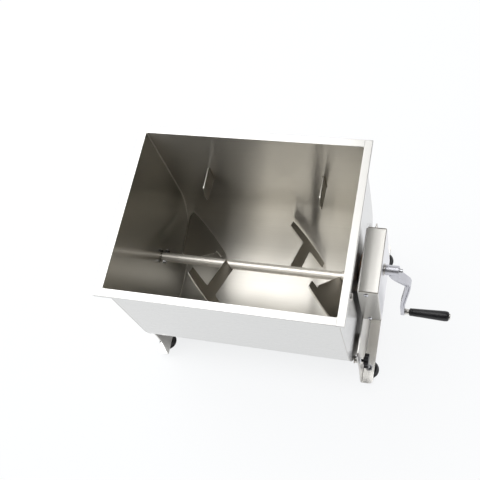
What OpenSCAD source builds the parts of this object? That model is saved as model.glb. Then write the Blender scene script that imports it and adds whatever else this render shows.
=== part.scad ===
// Hand-cranked tilting meat mixer.
// Origin: on the ground under the middle of the whole machine, crank grip included. X runs along the
// mixing shaft towards the crank, Y points to the back, Z up. Millimetres.

/* [Tank] */
// Inside length of the tank along the shaft
tank_length = 421; // [380:1:460]
// Inside radius of the round bottom, also half the inside width
trough_r = 162; // [160:1:170]
// Height of the rim above the shaft line
tank_depth = 235; // [215:1:245]
// Sheet thickness of the tank
sheet_t = 1.5; // [1.2, 1.5, 2]
// Width of the flat rim outside the walls
lip_w = 13; // [8:1:13]
// Height of the turned-down edge of the rim
lip_fold = 7; // [5:1:10]
// Height of the wall plates that comb the meat
fin_h = 46; // [36:1:50]
// Depth of the wall plates from the rear wall
fin_depth = 58; // [40:1:58]

/* [Paddles] */
// Pitch of the paddle plates against the shaft
paddle_pitch = 52.8; // [48:0.1:58]
// Angle of the paddles at rest
paddle_rest = -42.5; // [-50:0.5:-35]
// Gap between the swept paddle tips and the trough
tip_gap = 6; // [5:0.5:12]
// Width of the cross bar of a paddle
bar_w = 32; // [28:1:38]
// Half length of the cross bar
bar_half = 58.5; // [50:0.5:60]
// Width of the paddle arms
arm_w = 25; // [18:1:28]
// Thickness of the paddle plates
paddle_t = 3; // [2, 2.5, 3]

/* [Shaft] */
// Outer diameter of the mixing shaft
shaft_d = 19; // [18:0.5:20]
// Outer diameter of the tank pivots
trunnion_d = 40; // [36:1:42]

/* [Stand] */
// Clear height under the tank
ground_gap = 41.5; // [38:0.5:50]
// Sheet thickness of the stand plates
stand_t = 3; // [2.5, 3]
// How far the stand plates stop short of the inner walls at the ground
stand_inset = 1; // [0:1:6]
// Width of the bent-out foot flange
foot_flange = 23; // [22:1:28]
// Diameter of the rubber feet
foot_d = 40; // [36:1:44]
// Height of the rubber feet
foot_h = 14; // [12:1:16]

/* [Drive] */
// Gear module
gear_mod = 2; // [2]
// Teeth of the wheel on the mixing shaft
wheel_teeth = 42; // [42]
// Teeth of the pinion on the crank shaft
pinion_teeth = 20; // [20]
// Depth of the gear cover
cover_depth = 36; // [35:1:40]
// Half width of the gear cover
cover_half = 66; // [64:1:70]

/* [Crank] */
// Length of the crank from shaft to grip
crank_l = 150; // [130:5:160]
// Angle of the hanging crank towards the front at rest
crank_rest = 10.5; // [0:0.5:20]
// Length of the grip
grip_l = 78; // [70:2:90]
// Diameter of the grip at its outer end
grip_d = 21; // [18:0.5:24]
// Diameter of the star knob
knob_d = 30; // [26:1:34]

/* [Hidden] */
$fn = 64;

// clearances
run_gap = 0.05;
slide_gap = 0.1;
seat_gap = 0.3;

// tank
half_in = tank_length / 2;
half_out = half_in + sheet_t;
wall_out = trough_r + sheet_t;
axis_h = wall_out + ground_gap;
rim_z = axis_h + tank_depth;
rim_x = half_out + lip_w;
rim_y = wall_out + lip_w + 0.5;
fin_t = 3;
fin_drop = 121;
fin_top = rim_z - fin_drop;
fin_x = [-half_in + 96, half_in - 87];

// paddles: places along the shaft, swept radius, radius where the cross bar begins
left_end_x = -half_in + 54.5;
left_mid_x = -half_in + 149.5;
right_mid_x = half_in - 135.5;
right_end_x = half_in - 38.5;
paddle_r = trough_r - tip_gap;
bar_r = paddle_r - bar_w;

// shaft and pivots
tube_in = shaft_d - 5;
tube_end = half_in - 1.8;
washer_t = 1.5;
washer_d = 22;
sleeve_x = right_end_x + 1;
sleeve_d = shaft_d + 4;
tube_stop = sleeve_x + 25;
left_bolt_x = -tube_end + 6;
right_bolt_x = sleeve_x + 10;
journal_d = 18;
pivot_flange_d = 60;
pivot_flange_t = 4;
bush_wall = 3;
bush_d = trunnion_d + 2 * bush_wall;
bush_flange_d = 56;
bush_flange_t = 3.5;
collar_t = 3.4;

// stand: the right plate leaves room for the flange and the gears' bush, the left one is close to the tank
side_gap = 8;
left_gap = 2;
stand_x = half_out + side_gap;
stand_out = stand_x + stand_t;
left_x = half_out + left_gap;
left_out = left_x + stand_t;
stand_half = trough_r - stand_inset;
shoulder_drop = 44;
shoulder_z = axis_h - shoulder_drop;
shoulder_half = stand_half - 12;
shoulder_r = 12;
toe_r = 10;
top_half = cover_half - 2;
top_rise = 103;
stand_top = axis_h + top_rise;
bend_r = 3;
foot_bolt_d = 8;
foot_in = 11.6;
foot_y = stand_half - 34;
left_top_r = 44;
tie_y = trough_r / 2 + 1;
tie_w = 44;
tie_h = 16;
tie_t = 2;

// gears
centre = gear_mod * (wheel_teeth + pinion_teeth) / 2;
crank_z = axis_h + centre;
gear_x = stand_out + 10;
gear_w = 12;
crank_d = 14;

// cover
cover_t = 1.5;
cover_x = stand_out + 0.3;
cover_out = stand_x + cover_depth + 3;
cover_top = stand_top + 2;
cover_bottom = shoulder_z - 3;
screw_x = stand_x + 16;
screw_z = [cover_top - 13, cover_bottom + 9];
screw_d = 5;

// crank
hub_x = cover_out + 3;
hub_l = 26;
hub_d = 20;
arm_x = hub_x + 2;
hub_w = 18;
eye_w = 17;
grip_x = arm_x + 44.5;
pin_d = 8;
pin_head = 13;

// lock
lock_y = -(shoulder_half - 9);
lock_z = axis_h - 90;
lock_d = 6;
lug_t = 6;
lug_d = 14;
lock_travel = 4;
lock_nut_t = 3;
knob_x = stand_out + lock_nut_t + lock_travel + 0.4;

// the modules below are drawn with the tank's middle at X = 0; this is the middle of the whole machine
grip_end = grip_x + grip_l + seat_gap + 2.5;
middle_x = (grip_end - left_out - foot_in - foot_d / 2) / 2;
module placed() translate([-middle_x, 0, 0]) children();

// a plate in the Y-Z plane, cut from a flat drawing and set with its inner face at x
module plate_x(x, t) translate([x, 0, 0]) rotate([90, 0, 90]) linear_extrude(t) children();

// a cylinder along X from x with length l
module rod(x, d, l) translate([x, 0, 0]) rotate([0, 90, 0]) cylinder(d = d, h = l);

// a ring along X
module ring(x, d, bore, l) difference() {
    rod(x, d, l);
    rod(x - 1, bore, l + 2);
}

// places on the shaft line, on the crank line and at the crank's rest angle
module on_axis() translate([0, 0, axis_h]) children();
module on_crank() translate([0, 0, crank_z]) children();
module at_rest_crank() on_crank() rotate([-crank_rest, 0, 0]) children();

// tank outline seen from the end, with its round bottom
module tank_outline(r) {
    translate([0, axis_h]) circle(r = r, $fn = 96);
    translate([-r, axis_h]) square([2 * r, tank_depth - sheet_t]);
}

module trough() color("silver") plate_x(-half_in, tank_length) difference() {
    tank_outline(wall_out);
    tank_outline(trough_r);
    translate([-trough_r, rim_z - sheet_t - 1]) square([2 * trough_r, 2]);
}

module end_plate(x) plate_x(x, sheet_t) difference() {
    tank_outline(wall_out);
    translate([0, axis_h]) circle(d = journal_d + 2 * slide_gap);
}

module end_plate_left() color("silver") end_plate(-half_out);
module end_plate_right() color("silver") end_plate(half_in);

// triangle that keeps the part of a strip between its mitre cuts
module mitre(half_l, y_out, back) linear_extrude(rim_z + 1)
    polygon([[-half_l, y_out], [half_l, y_out], [half_l - back, y_out - back],
        [-half_l + back, y_out - back]]);

module rim_long_strips() color("whitesmoke") for (s = [0, 180]) rotate([0, 0, s]) intersection() {
    union() {
        translate([-rim_x, trough_r, rim_z - sheet_t]) cube([2 * rim_x, rim_y - trough_r, sheet_t]);
        translate([-rim_x, rim_y - sheet_t, rim_z - lip_fold]) cube([2 * rim_x, sheet_t, lip_fold]);
    }
    mitre(rim_x, rim_y, 40);
}

module rim_short_strips() color("whitesmoke") for (s = [90, 270]) rotate([0, 0, s]) intersection() {
    union() {
        translate([-rim_y, half_in, rim_z - sheet_t]) cube([2 * rim_y, rim_x - half_in, sheet_t]);
        translate([-rim_y, rim_x - sheet_t, rim_z - lip_fold]) cube([2 * rim_y, sheet_t, lip_fold]);
    }
    mitre(rim_y, rim_x, 40);
}

// comb plate on the rear wall, with a rounded lower front corner
module fin(x) plate_x(x - fin_t / 2, fin_t) {
    polygon([[trough_r, fin_top], [trough_r - fin_depth + 9, fin_top],
        [trough_r - fin_depth, fin_top - 18], [trough_r - fin_depth, fin_top - fin_h + 16],
        [trough_r - fin_depth + 9, fin_top - fin_h + 5], [trough_r, fin_top - fin_h]]);
    translate([trough_r - fin_depth + 12, fin_top - fin_h + 16]) circle(r = 12, $fn = 48);
}

module wall_fins() color("silver") for (x = fin_x) fin(x);

// hollow pivots welded to the end plates; the right one has a flange
module trunnion_left() color("silver") on_axis() rotate([0, 0, 180])
    ring(half_out, trunnion_d, journal_d + 2 * run_gap, left_gap + stand_t + 8);

module trunnion_right() color("silver") on_axis() difference() {
    union() {
        rod(half_out, pivot_flange_d, pivot_flange_t);
        rod(half_out, trunnion_d, side_gap + stand_t + 7);
    }
    rod(half_out - 1, journal_d + 2 * run_gap, 40);
}

module trunnion_collars() color("gray") on_axis() {
    ring(stand_out + 3.3, trunnion_d + 12, trunnion_d, collar_t);
    rotate([0, 0, 180]) ring(left_out + bush_flange_t + 0.5, trunnion_d + 12, trunnion_d, collar_t);
}

module thrust_washers() color("silver") for (s = [0, 180]) on_axis() rotate([0, 0, s])
    ring(half_in - washer_t, washer_d, journal_d + 2 * slide_gap, washer_t);

// blind lugs for the lock screw: upright and tipped by a quarter turn
module lock_lug() difference() {
    translate([half_out, lock_y, lock_z - axis_h]) rotate([0, 90, 0]) cylinder(d = lug_d, h = lug_t);
    translate([half_out + 1.5, lock_y, lock_z - axis_h]) rotate([0, 90, 0])
        cylinder(d = lock_d + 1, h = lug_t);
}

module lock_lugs() color("silver") on_axis() {
    lock_lug();
    rotate([-90, 0, 0]) lock_lug();
}

// the tube that carries the four paddles
module shaft_tube() color("lightgray") on_axis() difference() {
    ring(-tube_end, shaft_d, tube_in, tube_end + tube_stop);
    cross_hole(left_bolt_x);
    cross_hole(right_bolt_x);
}

module cross_hole(x) translate([x, 0, 0]) rotate([90, 0, 0]) cylinder(d = 6, h = 60, center = true);

module stub_shaft() color("lightgray") on_axis() difference() {
    union() {
        rod(-tube_end, tube_in, 26);
        rod(-half_out - 12, journal_d, half_out + 12 - tube_end);
    }
    cross_hole(left_bolt_x);
}

module drive_coupling() color("lightgray") on_axis() difference() {
    union() {
        rod(sleeve_x, sleeve_d, tube_end - sleeve_x);
        rod(tube_end, journal_d, gear_x + gear_w - tube_end);
    }
    rod(sleeve_x - 1, shaft_d, tube_stop - sleeve_x + 1);
    cross_hole(right_bolt_x);
}

// flat plate of a paddle in its own plane: s across, r out from the shaft
module paddle_place(x) translate([x, 0, 0]) rotate([paddle_rest, 0, 0]) rotate([0, paddle_pitch, 0])
    linear_extrude(paddle_t, center = true) children();

// T-shaped paddle plate
module tee_shape(s) polygon([[-arm_w / 2, 0], [arm_w / 2, 0], [arm_w / 2, s * (bar_r - 3)],
    [arm_w / 2 + 3, s * bar_r], [bar_half, s * bar_r], [bar_half, s * (paddle_r + 10)],
    [-bar_half, s * (paddle_r + 10)], [-bar_half, s * bar_r], [-arm_w / 2 - 3, s * bar_r],
    [-arm_w / 2, s * (bar_r - 3)]]);

// fan-shaped end paddle; e is the side of its tank end, -1 or 1
module fan_shape(s, e) polygon([[-e, 0], [e * 16, 0], [e * bar_half, s * bar_r],
    [e * bar_half, s * (paddle_r + 10)], [-e * bar_half, s * (paddle_r + 10)],
    [-e * bar_half, s * bar_r], [-e * 41, s * bar_r], [-e * 41, s * (bar_r - 12)]]);

// trims a paddle to the swept circle and cuts its foot to the shaft
module trim(root_d) intersection() {
    difference() {
        children();
        rod(-half_in, root_d, tank_length);
    }
    rod(-half_in, 2 * paddle_r, tank_length);
}

module paddle_left_end() color("gray") on_axis() trim(shaft_d)
    paddle_place(left_end_x) fan_shape(1, -1);
module paddle_left_middle() color("gray") on_axis() trim(shaft_d) paddle_place(left_mid_x) tee_shape(-1);
module paddle_right_middle() color("gray") on_axis() trim(shaft_d) paddle_place(right_mid_x) tee_shape(1);
module paddle_right_end() color("gray") on_axis() difference() {
    trim(shaft_d) paddle_place(right_end_x) fan_shape(-1, 1);
    rod(sleeve_x, sleeve_d, 60);
}

// bolts across the shaft: the left one has its head in front and a nut behind, the right one its head
// behind and its end flush with the coupling
module cross_bolts() color("gainsboro") on_axis() {
    translate([left_bolt_x, 0, 0]) rotate([90, 0, 0]) {
        translate([0, 0, -shaft_d / 2 - 7]) cylinder(d = 6, h = shaft_d + 7);
        translate([0, 0, shaft_d / 2]) cylinder(d = 11.5, h = 4, $fn = 6);
    }
    translate([right_bolt_x, 0, 0]) rotate([-90, 0, 0]) {
        translate([0, 0, -sleeve_d / 2 + 0.5]) cylinder(d = 6, h = sleeve_d - 0.5);
        translate([0, 0, sleeve_d / 2]) cylinder(d = 11.5, h = 4, $fn = 6);
    }
}

module cross_nut() color("gainsboro") on_axis() translate([left_bolt_x, 0, 0]) rotate([-90, 0, 0])
    translate([0, 0, shaft_d / 2]) difference() {
        cylinder(d = 11.5, h = 5, $fn = 6);
        translate([0, 0, -1]) cylinder(d = 6, h = 8);
    }

// spur gear drawing; first tooth on +X of the drawing
function inv_pt(rb, t) = [rb * (cos(t) + t * PI / 180 * sin(t)), rb * (sin(t) - t * PI / 180 * cos(t))];
function inv_ang(rb, r) = sqrt(r * r / (rb * rb) - 1) * 180 / PI - acos(rb / r);
function flank(rb, r0, r1, n) = [for (i = [0 : n]) let (r = r0 + (r1 - r0) * i / n) [r, inv_ang(rb, r)]];
function polar(r, a) = [r * cos(a), r * sin(a)];

module gear_drawing(z) {
    rp = gear_mod * z / 2;
    rb = rp * cos(20);
    ra = rp + gear_mod;
    rf = rp - 1.25 * gear_mod;
    half = 90 / z + inv_ang(rb, rp) - 0.045 * 180 / PI / rp;
    start = max(rb + 0.01, rf + 0.2);
    f = flank(rb, start, ra, 4);
    pts = [for (k = [0 : z - 1]) let (c = 360 * k / z) each concat(
        [polar(rf, c - half)],
        [for (p = f) polar(p[0], c - half + p[1])],
        [for (i = [4 : -1 : 0]) polar(f[i][0], c + half - f[i][1])],
        [polar(rf, c + half)])];
    polygon(pts);
}

module gear_wheel() color("dimgray") on_axis() difference() {
    plate_x(gear_x, gear_w) rotate(90) gear_drawing(wheel_teeth);
    rod(gear_x - 1, journal_d, gear_w + 2);
    for (a = [0 : 60 : 300]) rotate([a + 30, 0, 0]) translate([0, 24, 0]) rod(gear_x - 1, 13, gear_w + 2);
}

module wheel_bolt() color("gainsboro") on_axis() {
    rod(gear_x + gear_w, 26, 2);
    rod(gear_x + gear_w + 2, 13, 4);
}

// outline of a stand plate, top given by the caller; the plate flares out a little to the ground
module stand_outline(top, half_w) {
    polygon([[-stand_half, foot_h + stand_t + bend_r], [stand_half, foot_h + stand_t + bend_r],
        [stand_half - 6, foot_h + 36], [shoulder_half, foot_h + 96], [shoulder_half, shoulder_z - shoulder_r],
        [shoulder_half - shoulder_r, shoulder_z], [half_w, shoulder_z], [half_w, top], [-half_w, top],
        [-half_w, shoulder_z], [-shoulder_half + shoulder_r, shoulder_z],
        [-shoulder_half, shoulder_z - shoulder_r], [-shoulder_half, foot_h + 96],
        [-stand_half + 6, foot_h + 36]]);
    for (s = [-1, 1]) translate([s * (shoulder_half - shoulder_r), shoulder_z - shoulder_r])
        circle(r = shoulder_r, $fn = 48);
}

// bent foot of a stand plate with rounded toes; x is the plate's inner face
module foot_bend(x) {
    out = x + stand_t;
    end = out + foot_flange;
    difference() {
        translate([x, -stand_half, foot_h]) cube([stand_t + bend_r, 2 * stand_half, stand_t + bend_r]);
        translate([out + bend_r, 0, foot_h + stand_t + bend_r]) rotate([90, 0, 0])
            cylinder(r = bend_r, h = 2 * stand_half + 2, center = true, $fn = 48);
        translate([out + bend_r, -stand_half - 1, foot_h + stand_t])
            cube([bend_r, 2 * stand_half + 2, bend_r + 1]);
        difference() {
            translate([x - 1, -stand_half - 1, foot_h - 1])
                cube([stand_t + bend_r + 1, 2 * stand_half + 2, stand_t + bend_r + 1]);
            translate([out + bend_r, 0, foot_h + stand_t + bend_r]) rotate([90, 0, 0])
                cylinder(r = bend_r + stand_t, h = 2 * stand_half + 4, center = true, $fn = 48);
        }
    }
    difference() {
        translate([0, 0, foot_h]) linear_extrude(stand_t) {
            translate([out + bend_r, -stand_half + toe_r])
                square([foot_flange - bend_r, 2 * (stand_half - toe_r)]);
            translate([out + bend_r, -stand_half])
                square([foot_flange - bend_r - toe_r, 2 * stand_half]);
            for (s = [-1, 1]) translate([end - toe_r, s * (stand_half - toe_r)]) circle(r = toe_r, $fn = 48);
        }
        for (s = [-1, 1]) translate([out + foot_in, s * foot_y, 0]) cylinder(d = foot_bolt_d, h = 40);
    }
}

module side_plate_left() color("gray") rotate([0, 0, 180]) {
    plate_x(left_x, stand_t) difference() {
        union() {
            stand_outline(axis_h + 10, left_top_r);
            translate([0, axis_h + 10]) circle(r = left_top_r, $fn = 96);
        }
        translate([0, axis_h]) circle(d = bush_d);
    }
    foot_bend(left_x);
}

module side_plate_right() color("gray") {
    plate_x(stand_x, stand_t) difference() {
        stand_outline(stand_top, top_half);
        translate([0, axis_h]) circle(d = bush_d);
        translate([0, crank_z]) circle(d = crank_d + 6);
        translate([lock_y, lock_z]) circle(d = lock_d + 2 * run_gap);
    }
    foot_bend(stand_x);
    for (s = [-1, 1]) difference() {
        translate([stand_out - 0.01, s > 0 ? top_half - 2.5 : -top_half, cover_bottom + 6])
            cube([18, 2.5, stand_top - cover_bottom - 6]);
        screw_holes();
    }
}

// holes of the cover screws, front to back
module screw_holes() for (z = screw_z) translate([screw_x, 0, z]) rotate([90, 0, 0])
    cylinder(d = screw_d, h = 4 * cover_half, center = true);

// two folded channels under the tank that join the stand plates
module tie_bars() color("gray") for (y = [-tie_y, tie_y]) difference() {
    translate([-left_x, y - tie_w / 2, foot_h + 4]) cube([left_x + stand_x, tie_w, tie_h]);
    translate([-left_x - 1, y - tie_w / 2 + tie_t, foot_h + 3])
        cube([left_x + stand_x + 2, tie_w - 2 * tie_t, tie_h + 1 - tie_t]);
}

// pivot bushes: the left one has its flange outside, the right one inside
module pivot_bush_left() color("peru") on_axis() rotate([0, 0, 180]) difference() {
    union() {
        rod(left_x, bush_d, stand_t + 0.2 + bush_flange_t);
        rod(left_out + 0.2, bush_flange_d, bush_flange_t);
    }
    rod(left_x - 10, trunnion_d + 2 * run_gap, 30);
}

module pivot_bush_right() color("peru") on_axis() difference() {
    union() {
        rod(stand_x - 0.2 - bush_flange_t, bush_flange_d, bush_flange_t);
        rod(stand_x - 1, bush_d, stand_t + 4);
    }
    rod(stand_x - 10, trunnion_d + 2 * run_gap, 30);
}

// rounded rectangle drawing in the Y-Z plane
module cover_outline(inset, r) {
    translate([-cover_half + inset + r, cover_bottom + inset])
        square([2 * (cover_half - inset - r), cover_top - cover_bottom - 2 * inset]);
    translate([-cover_half + inset, cover_bottom + inset + r])
        square([2 * (cover_half - inset), cover_top - cover_bottom - 2 * inset - 2 * r]);
    for (y = [-1, 1], z = [0, 1])
        translate([y * (cover_half - inset - r),
            z > 0 ? cover_top - inset - r : cover_bottom + inset + r]) circle(r = r, $fn = 32);
}

module gearbox_cover() color("silver") difference() {
    plate_x(cover_x, cover_out - cover_x) cover_outline(0, 3);
    plate_x(cover_x - 1, cover_out - cover_x - cover_t + 1) cover_outline(cover_t, 1.5);
    on_crank() rod(cover_x, crank_d + 6, 60);
    screw_holes();
}

module cover_screws() color("gainsboro") for (s = [0, 180], z = screw_z)
    translate([screw_x, 0, z]) rotate([90, 0, s]) {
        translate([0, 0, cover_half - 10]) cylinder(d = screw_d, h = 11);
        difference() {
            translate([0, 0, cover_half]) cylinder(d = 9.5, h = 3);
            translate([0, 0, cover_half + 2]) cube([1.2, 12, 4], center = true);
        }
    }

module crank_bush_inner() color("peru") on_crank() difference() {
    union() {
        rod(stand_x - 0.2 - bush_flange_t, 54, bush_flange_t);
        rod(stand_x - 1, crank_d + 6, stand_t + 5.5);
    }
    rod(stand_x - 10, crank_d + 2 * run_gap, 30);
}

module crank_bush_outer() color("dimgray") on_crank() difference() {
    union() {
        rod(cover_out - 9, crank_d + 6, 10);
        rod(cover_out + 0.2, hub_d + 3, 2.3);
    }
    rod(cover_out - 12, crank_d + 2 * run_gap, 30);
}

module foot() rotate_extrude($fn = 64) polygon([[0, 0], [foot_d / 2 - 1, 0], [foot_d / 2, 1],
    [foot_d / 2, 3], [foot_d / 2 - 4, foot_h], [4, foot_h], [4, 4], [0, 4]]);

module four_feet() for (x = [-left_out - foot_in, stand_out + foot_in], y = [-foot_y, foot_y])
    translate([x, y, 0]) children();

module feet() color("black") four_feet() foot();

module foot_bolts() color("gainsboro") four_feet() {
    translate([0, 0, 4]) cylinder(d = foot_bolt_d, h = foot_h + stand_t - 4 + 0.5);
    translate([0, 0, foot_h + stand_t]) rotate_extrude() intersection() {
        translate([0, -4.5]) circle(r = 9.5, $fn = 96);
        square([7, 6]);
    }
}

module lock_nut() color("gainsboro") translate([stand_out, lock_y, lock_z]) rotate([0, 90, 0])
    difference() {
        cylinder(d = 11.5, h = lock_nut_t, $fn = 6);
        translate([0, 0, -1]) cylinder(d = lock_d + 2 * run_gap, h = 8);
    }

module crank_shaft() color("lightgray") on_crank() rod(stand_x - 2, crank_d, hub_x + hub_l - stand_x + 2);

module pinion() color("dimgray") on_crank() difference() {
    plate_x(gear_x, gear_w) rotate(270 + 180 / pinion_teeth) gear_drawing(pinion_teeth);
    rod(gear_x - 1, crank_d, gear_w + 2);
}

// cast crank: side view of its bent arm, measured along the arm from the hub
module arm_profile() polygon([[arm_x, 0], [arm_x + 24, 0], [arm_x + 24, 9],
    [arm_x + 43, 30], [arm_x + 46.5, 36], [arm_x + 46.5, 46],
    [arm_x + 35.5, crank_l - 33], [arm_x + 35, crank_l - 24], [arm_x + 35, crank_l + 20],
    [arm_x + 28, crank_l + 20], [arm_x + 26, crank_l - 37], [arm_x + 37, 43], [arm_x, 10]]);

// pocket of the I-shaped arm in the same side view
module arm_pocket() polygon([[arm_x + 26, 15.5], [arm_x + 41, 31.5], [arm_x + 43.5, 37.5],
    [arm_x + 43.5, 45], [arm_x + 33.5, crank_l - 38], [arm_x + 29.3, crank_l - 40], [arm_x + 39.7, 43],
    [arm_x + 18, 22]]);

// front view of the arm, a little wider at the hub than at the eye
module arm_front() {
    circle(d = hub_w, $fn = 64);
    translate([0, -crank_l]) circle(d = eye_w, $fn = 64);
    polygon([[-hub_w / 2, 0], [hub_w / 2, 0], [eye_w / 2, -crank_l], [-eye_w / 2, -crank_l]]);
}

module crank_arm() color("lightgray") at_rest_crank() difference() {
    union() {
        rod(hub_x, hub_d, hub_l);
        intersection() {
            rotate([-90, 0, 0]) linear_extrude(40, center = true) arm_profile();
            plate_x(hub_x, 60) arm_front();
        }
    }
    rod(hub_x - 1, crank_d, hub_l + 2);
    for (s = [-1, 1]) translate([0, s * 11.5, 0]) rotate([-90, 0, 0])
        linear_extrude(17, center = true) arm_pocket();
    translate([0, 0, -crank_l]) rod(hub_x, pin_d, 60);
}

module hub_bolt() color("gainsboro") on_crank() {
    rod(hub_x + hub_l, 13, 1.5);
    difference() {
        rod(hub_x + hub_l + 1.5, 10, 5);
        translate([hub_x + hub_l + 4, 0, 0]) rotate([0, 90, 0]) cylinder(d = 5.5, h = 6, $fn = 6);
    }
}

module grip_pin() color("gainsboro") at_rest_crank() translate([0, 0, -crank_l]) {
    rod(arm_x + 27.5, pin_d, grip_x + grip_l - arm_x - 27.5 + 1);
    rod(arm_x + 35.2, pin_head, grip_x - arm_x - 35.2 - seat_gap);
    rod(grip_x + grip_l + seat_gap, pin_head, 2.5);
}

module grip() color("black") at_rest_crank() translate([grip_x, 0, -crank_l]) rotate([0, 90, 0])
    rotate_extrude($fn = 64) polygon([[pin_d / 2 + run_gap, 0], [7, 0], [7.8, 1.2], [8.6, grip_l * 0.35],
        [grip_d / 2 - 0.3, grip_l * 0.78], [grip_d / 2, grip_l * 0.9], [grip_d / 2 - 0.8, grip_l - 2],
        [grip_d / 2 - 2.5, grip_l], [pin_d / 2 + run_gap, grip_l]]);

module lock_screw() color("gainsboro") translate([0, lock_y, lock_z])
    rod(stand_x - 1.2, lock_d, knob_x + 6 - stand_x + 1.2);

module star_knob() color("black") translate([knob_x, lock_y, lock_z])
    rotate([90, 0, 90]) difference() {
        union() {
            cylinder(d = knob_d / 2, h = 3);
            translate([0, 0, 1.6]) cylinder(d = knob_d * 0.7, h = 9);
            for (a = [0 : 60 : 300]) rotate([0, 0, a + 15]) translate([knob_d / 2 - 4.8, 0, 1.6])
                cylinder(d = 9.6, h = 9, $fn = 32);
        }
        translate([0, 0, -1]) cylinder(d = lock_d, h = 7);
    }

placed() trough();
placed() end_plate_left();
placed() end_plate_right();
placed() rim_long_strips();
placed() rim_short_strips();
placed() wall_fins();
placed() trunnion_left();
placed() trunnion_right();
placed() trunnion_collars();
placed() thrust_washers();
placed() lock_lugs();
placed() shaft_tube();
placed() stub_shaft();
placed() drive_coupling();
placed() paddle_left_end();
placed() paddle_left_middle();
placed() paddle_right_middle();
placed() paddle_right_end();
placed() cross_bolts();
placed() cross_nut();
placed() gear_wheel();
placed() wheel_bolt();
placed() side_plate_left();
placed() side_plate_right();
placed() tie_bars();
placed() pivot_bush_left();
placed() pivot_bush_right();
placed() gearbox_cover();
placed() cover_screws();
placed() crank_bush_inner();
placed() crank_bush_outer();
placed() feet();
placed() foot_bolts();
placed() lock_nut();
placed() crank_shaft();
placed() pinion();
placed() crank_arm();
placed() hub_bolt();
placed() grip_pin();
placed() grip();
placed() lock_screw();
placed() star_knob();
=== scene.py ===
import logging
import math
from dataclasses import dataclass
from enum import Enum
from typing import Any, Callable, Dict, Iterable, List, Optional, Sequence, Tuple

import bmesh
import bpy
from mathutils import Matrix, Vector


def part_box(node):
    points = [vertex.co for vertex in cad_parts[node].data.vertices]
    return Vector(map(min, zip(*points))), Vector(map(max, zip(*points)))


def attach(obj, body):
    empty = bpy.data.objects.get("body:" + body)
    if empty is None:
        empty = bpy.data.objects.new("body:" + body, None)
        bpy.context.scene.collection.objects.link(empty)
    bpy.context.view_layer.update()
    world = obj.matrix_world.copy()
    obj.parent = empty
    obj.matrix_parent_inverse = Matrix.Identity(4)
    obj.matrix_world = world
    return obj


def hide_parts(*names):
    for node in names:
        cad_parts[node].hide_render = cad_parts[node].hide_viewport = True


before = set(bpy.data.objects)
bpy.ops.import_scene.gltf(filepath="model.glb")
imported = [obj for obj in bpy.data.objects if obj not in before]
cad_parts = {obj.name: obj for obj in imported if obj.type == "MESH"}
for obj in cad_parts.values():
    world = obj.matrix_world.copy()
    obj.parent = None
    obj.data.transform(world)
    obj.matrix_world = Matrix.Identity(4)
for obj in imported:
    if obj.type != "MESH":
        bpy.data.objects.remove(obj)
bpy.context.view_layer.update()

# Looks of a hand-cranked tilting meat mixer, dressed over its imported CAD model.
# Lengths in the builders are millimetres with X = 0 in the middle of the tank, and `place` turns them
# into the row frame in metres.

LOG = logging.getLogger("mixer")
MM = 0.001
Point = Tuple[float, float]
Point3 = Tuple[float, float, float]
TANK_LO, TANK_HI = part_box("trough")
# middle of the tank along X in the row frame, in millimetres
SHIFT = (TANK_LO.x + TANK_HI.x) / 2 / MM
# heights of the shaft line and of the crank line, and the lock screw's place in Y and Z, in millimetres
SHAFT_Z, CRANK_Z = 205.0, 267.0
LOCK_AT = (-140.0, 115.0)


class Body(Enum):
    """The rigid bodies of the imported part."""

    BASE = "base"
    TANK = "tank"
    SHAFT = "shaft"
    CRANK = "crank"
    GRIP = "grip"
    LOCK = "lock"


class Grain(Enum):
    """Direction of the brushing, by the axes it runs along; AROUND_X is that of a turned rod."""

    ALONG_X = (1.0, 0.0, 0.0)
    ALONG_Y = (0.0, 1.0, 0.0)
    ALONG_Z = (0.0, 0.0, 1.0)
    AROUND_X = (0.0, 1.0, 1.0)


def linear(hex_colour: str) -> Tuple[float, float, float, float]:
    """Turns an sRGB hex colour into linear RGBA.

    Args:
        hex_colour: colour such as "c4c1bb".

    Returns:
        Linear red, green, blue and alpha 1.
    """
    parts = [int(hex_colour[i:i + 2], 16) / 255 for i in (0, 2, 4)]
    low = [c / 12.92 if c <= 0.04045 else ((c + 0.055) / 1.055) ** 2.4 for c in parts]
    return low[0], low[1], low[2], 1.0


def dimmed(hex_colour: str, share: float) -> Tuple[float, float, float, float]:
    """Turns an sRGB hex colour into linear RGBA at a share of its brightness.

    Args:
        hex_colour: colour such as "c4c1bb".
        share: part of the brightness that is kept.

    Returns:
        Linear red, green, blue and alpha 1.
    """
    red, green, blue, _ = linear(hex_colour)
    return red * share, green * share, blue * share, 1.0


def per_metre(size: float) -> float:
    """Turns the size of a mark in millimetres into a pattern scale, in marks per metre."""
    return 1.0 / (size * MM)


def node(tree: bpy.types.NodeTree, kind: str, links: Optional[Dict[Any, Any]] = None,
         values: Optional[Dict[Any, Any]] = None, **settings: Any) -> bpy.types.Node:
    """Adds one node with its settings, socket values and incoming links.

    Args:
        tree: node tree to add to.
        kind: Blender's node type name.
        links: input socket name or index to the output socket that feeds it.
        values: input socket name or index to its value.
        settings: node properties.

    Returns:
        The new node.
    """
    made = tree.nodes.new(kind)
    for key, value in settings.items():
        setattr(made, key, value)
    for key, value in (values or {}).items():
        made.inputs[key].default_value = value
    for key, source in (links or {}).items():
        tree.links.new(source, made.inputs[key])
    return made


# Finishes


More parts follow.
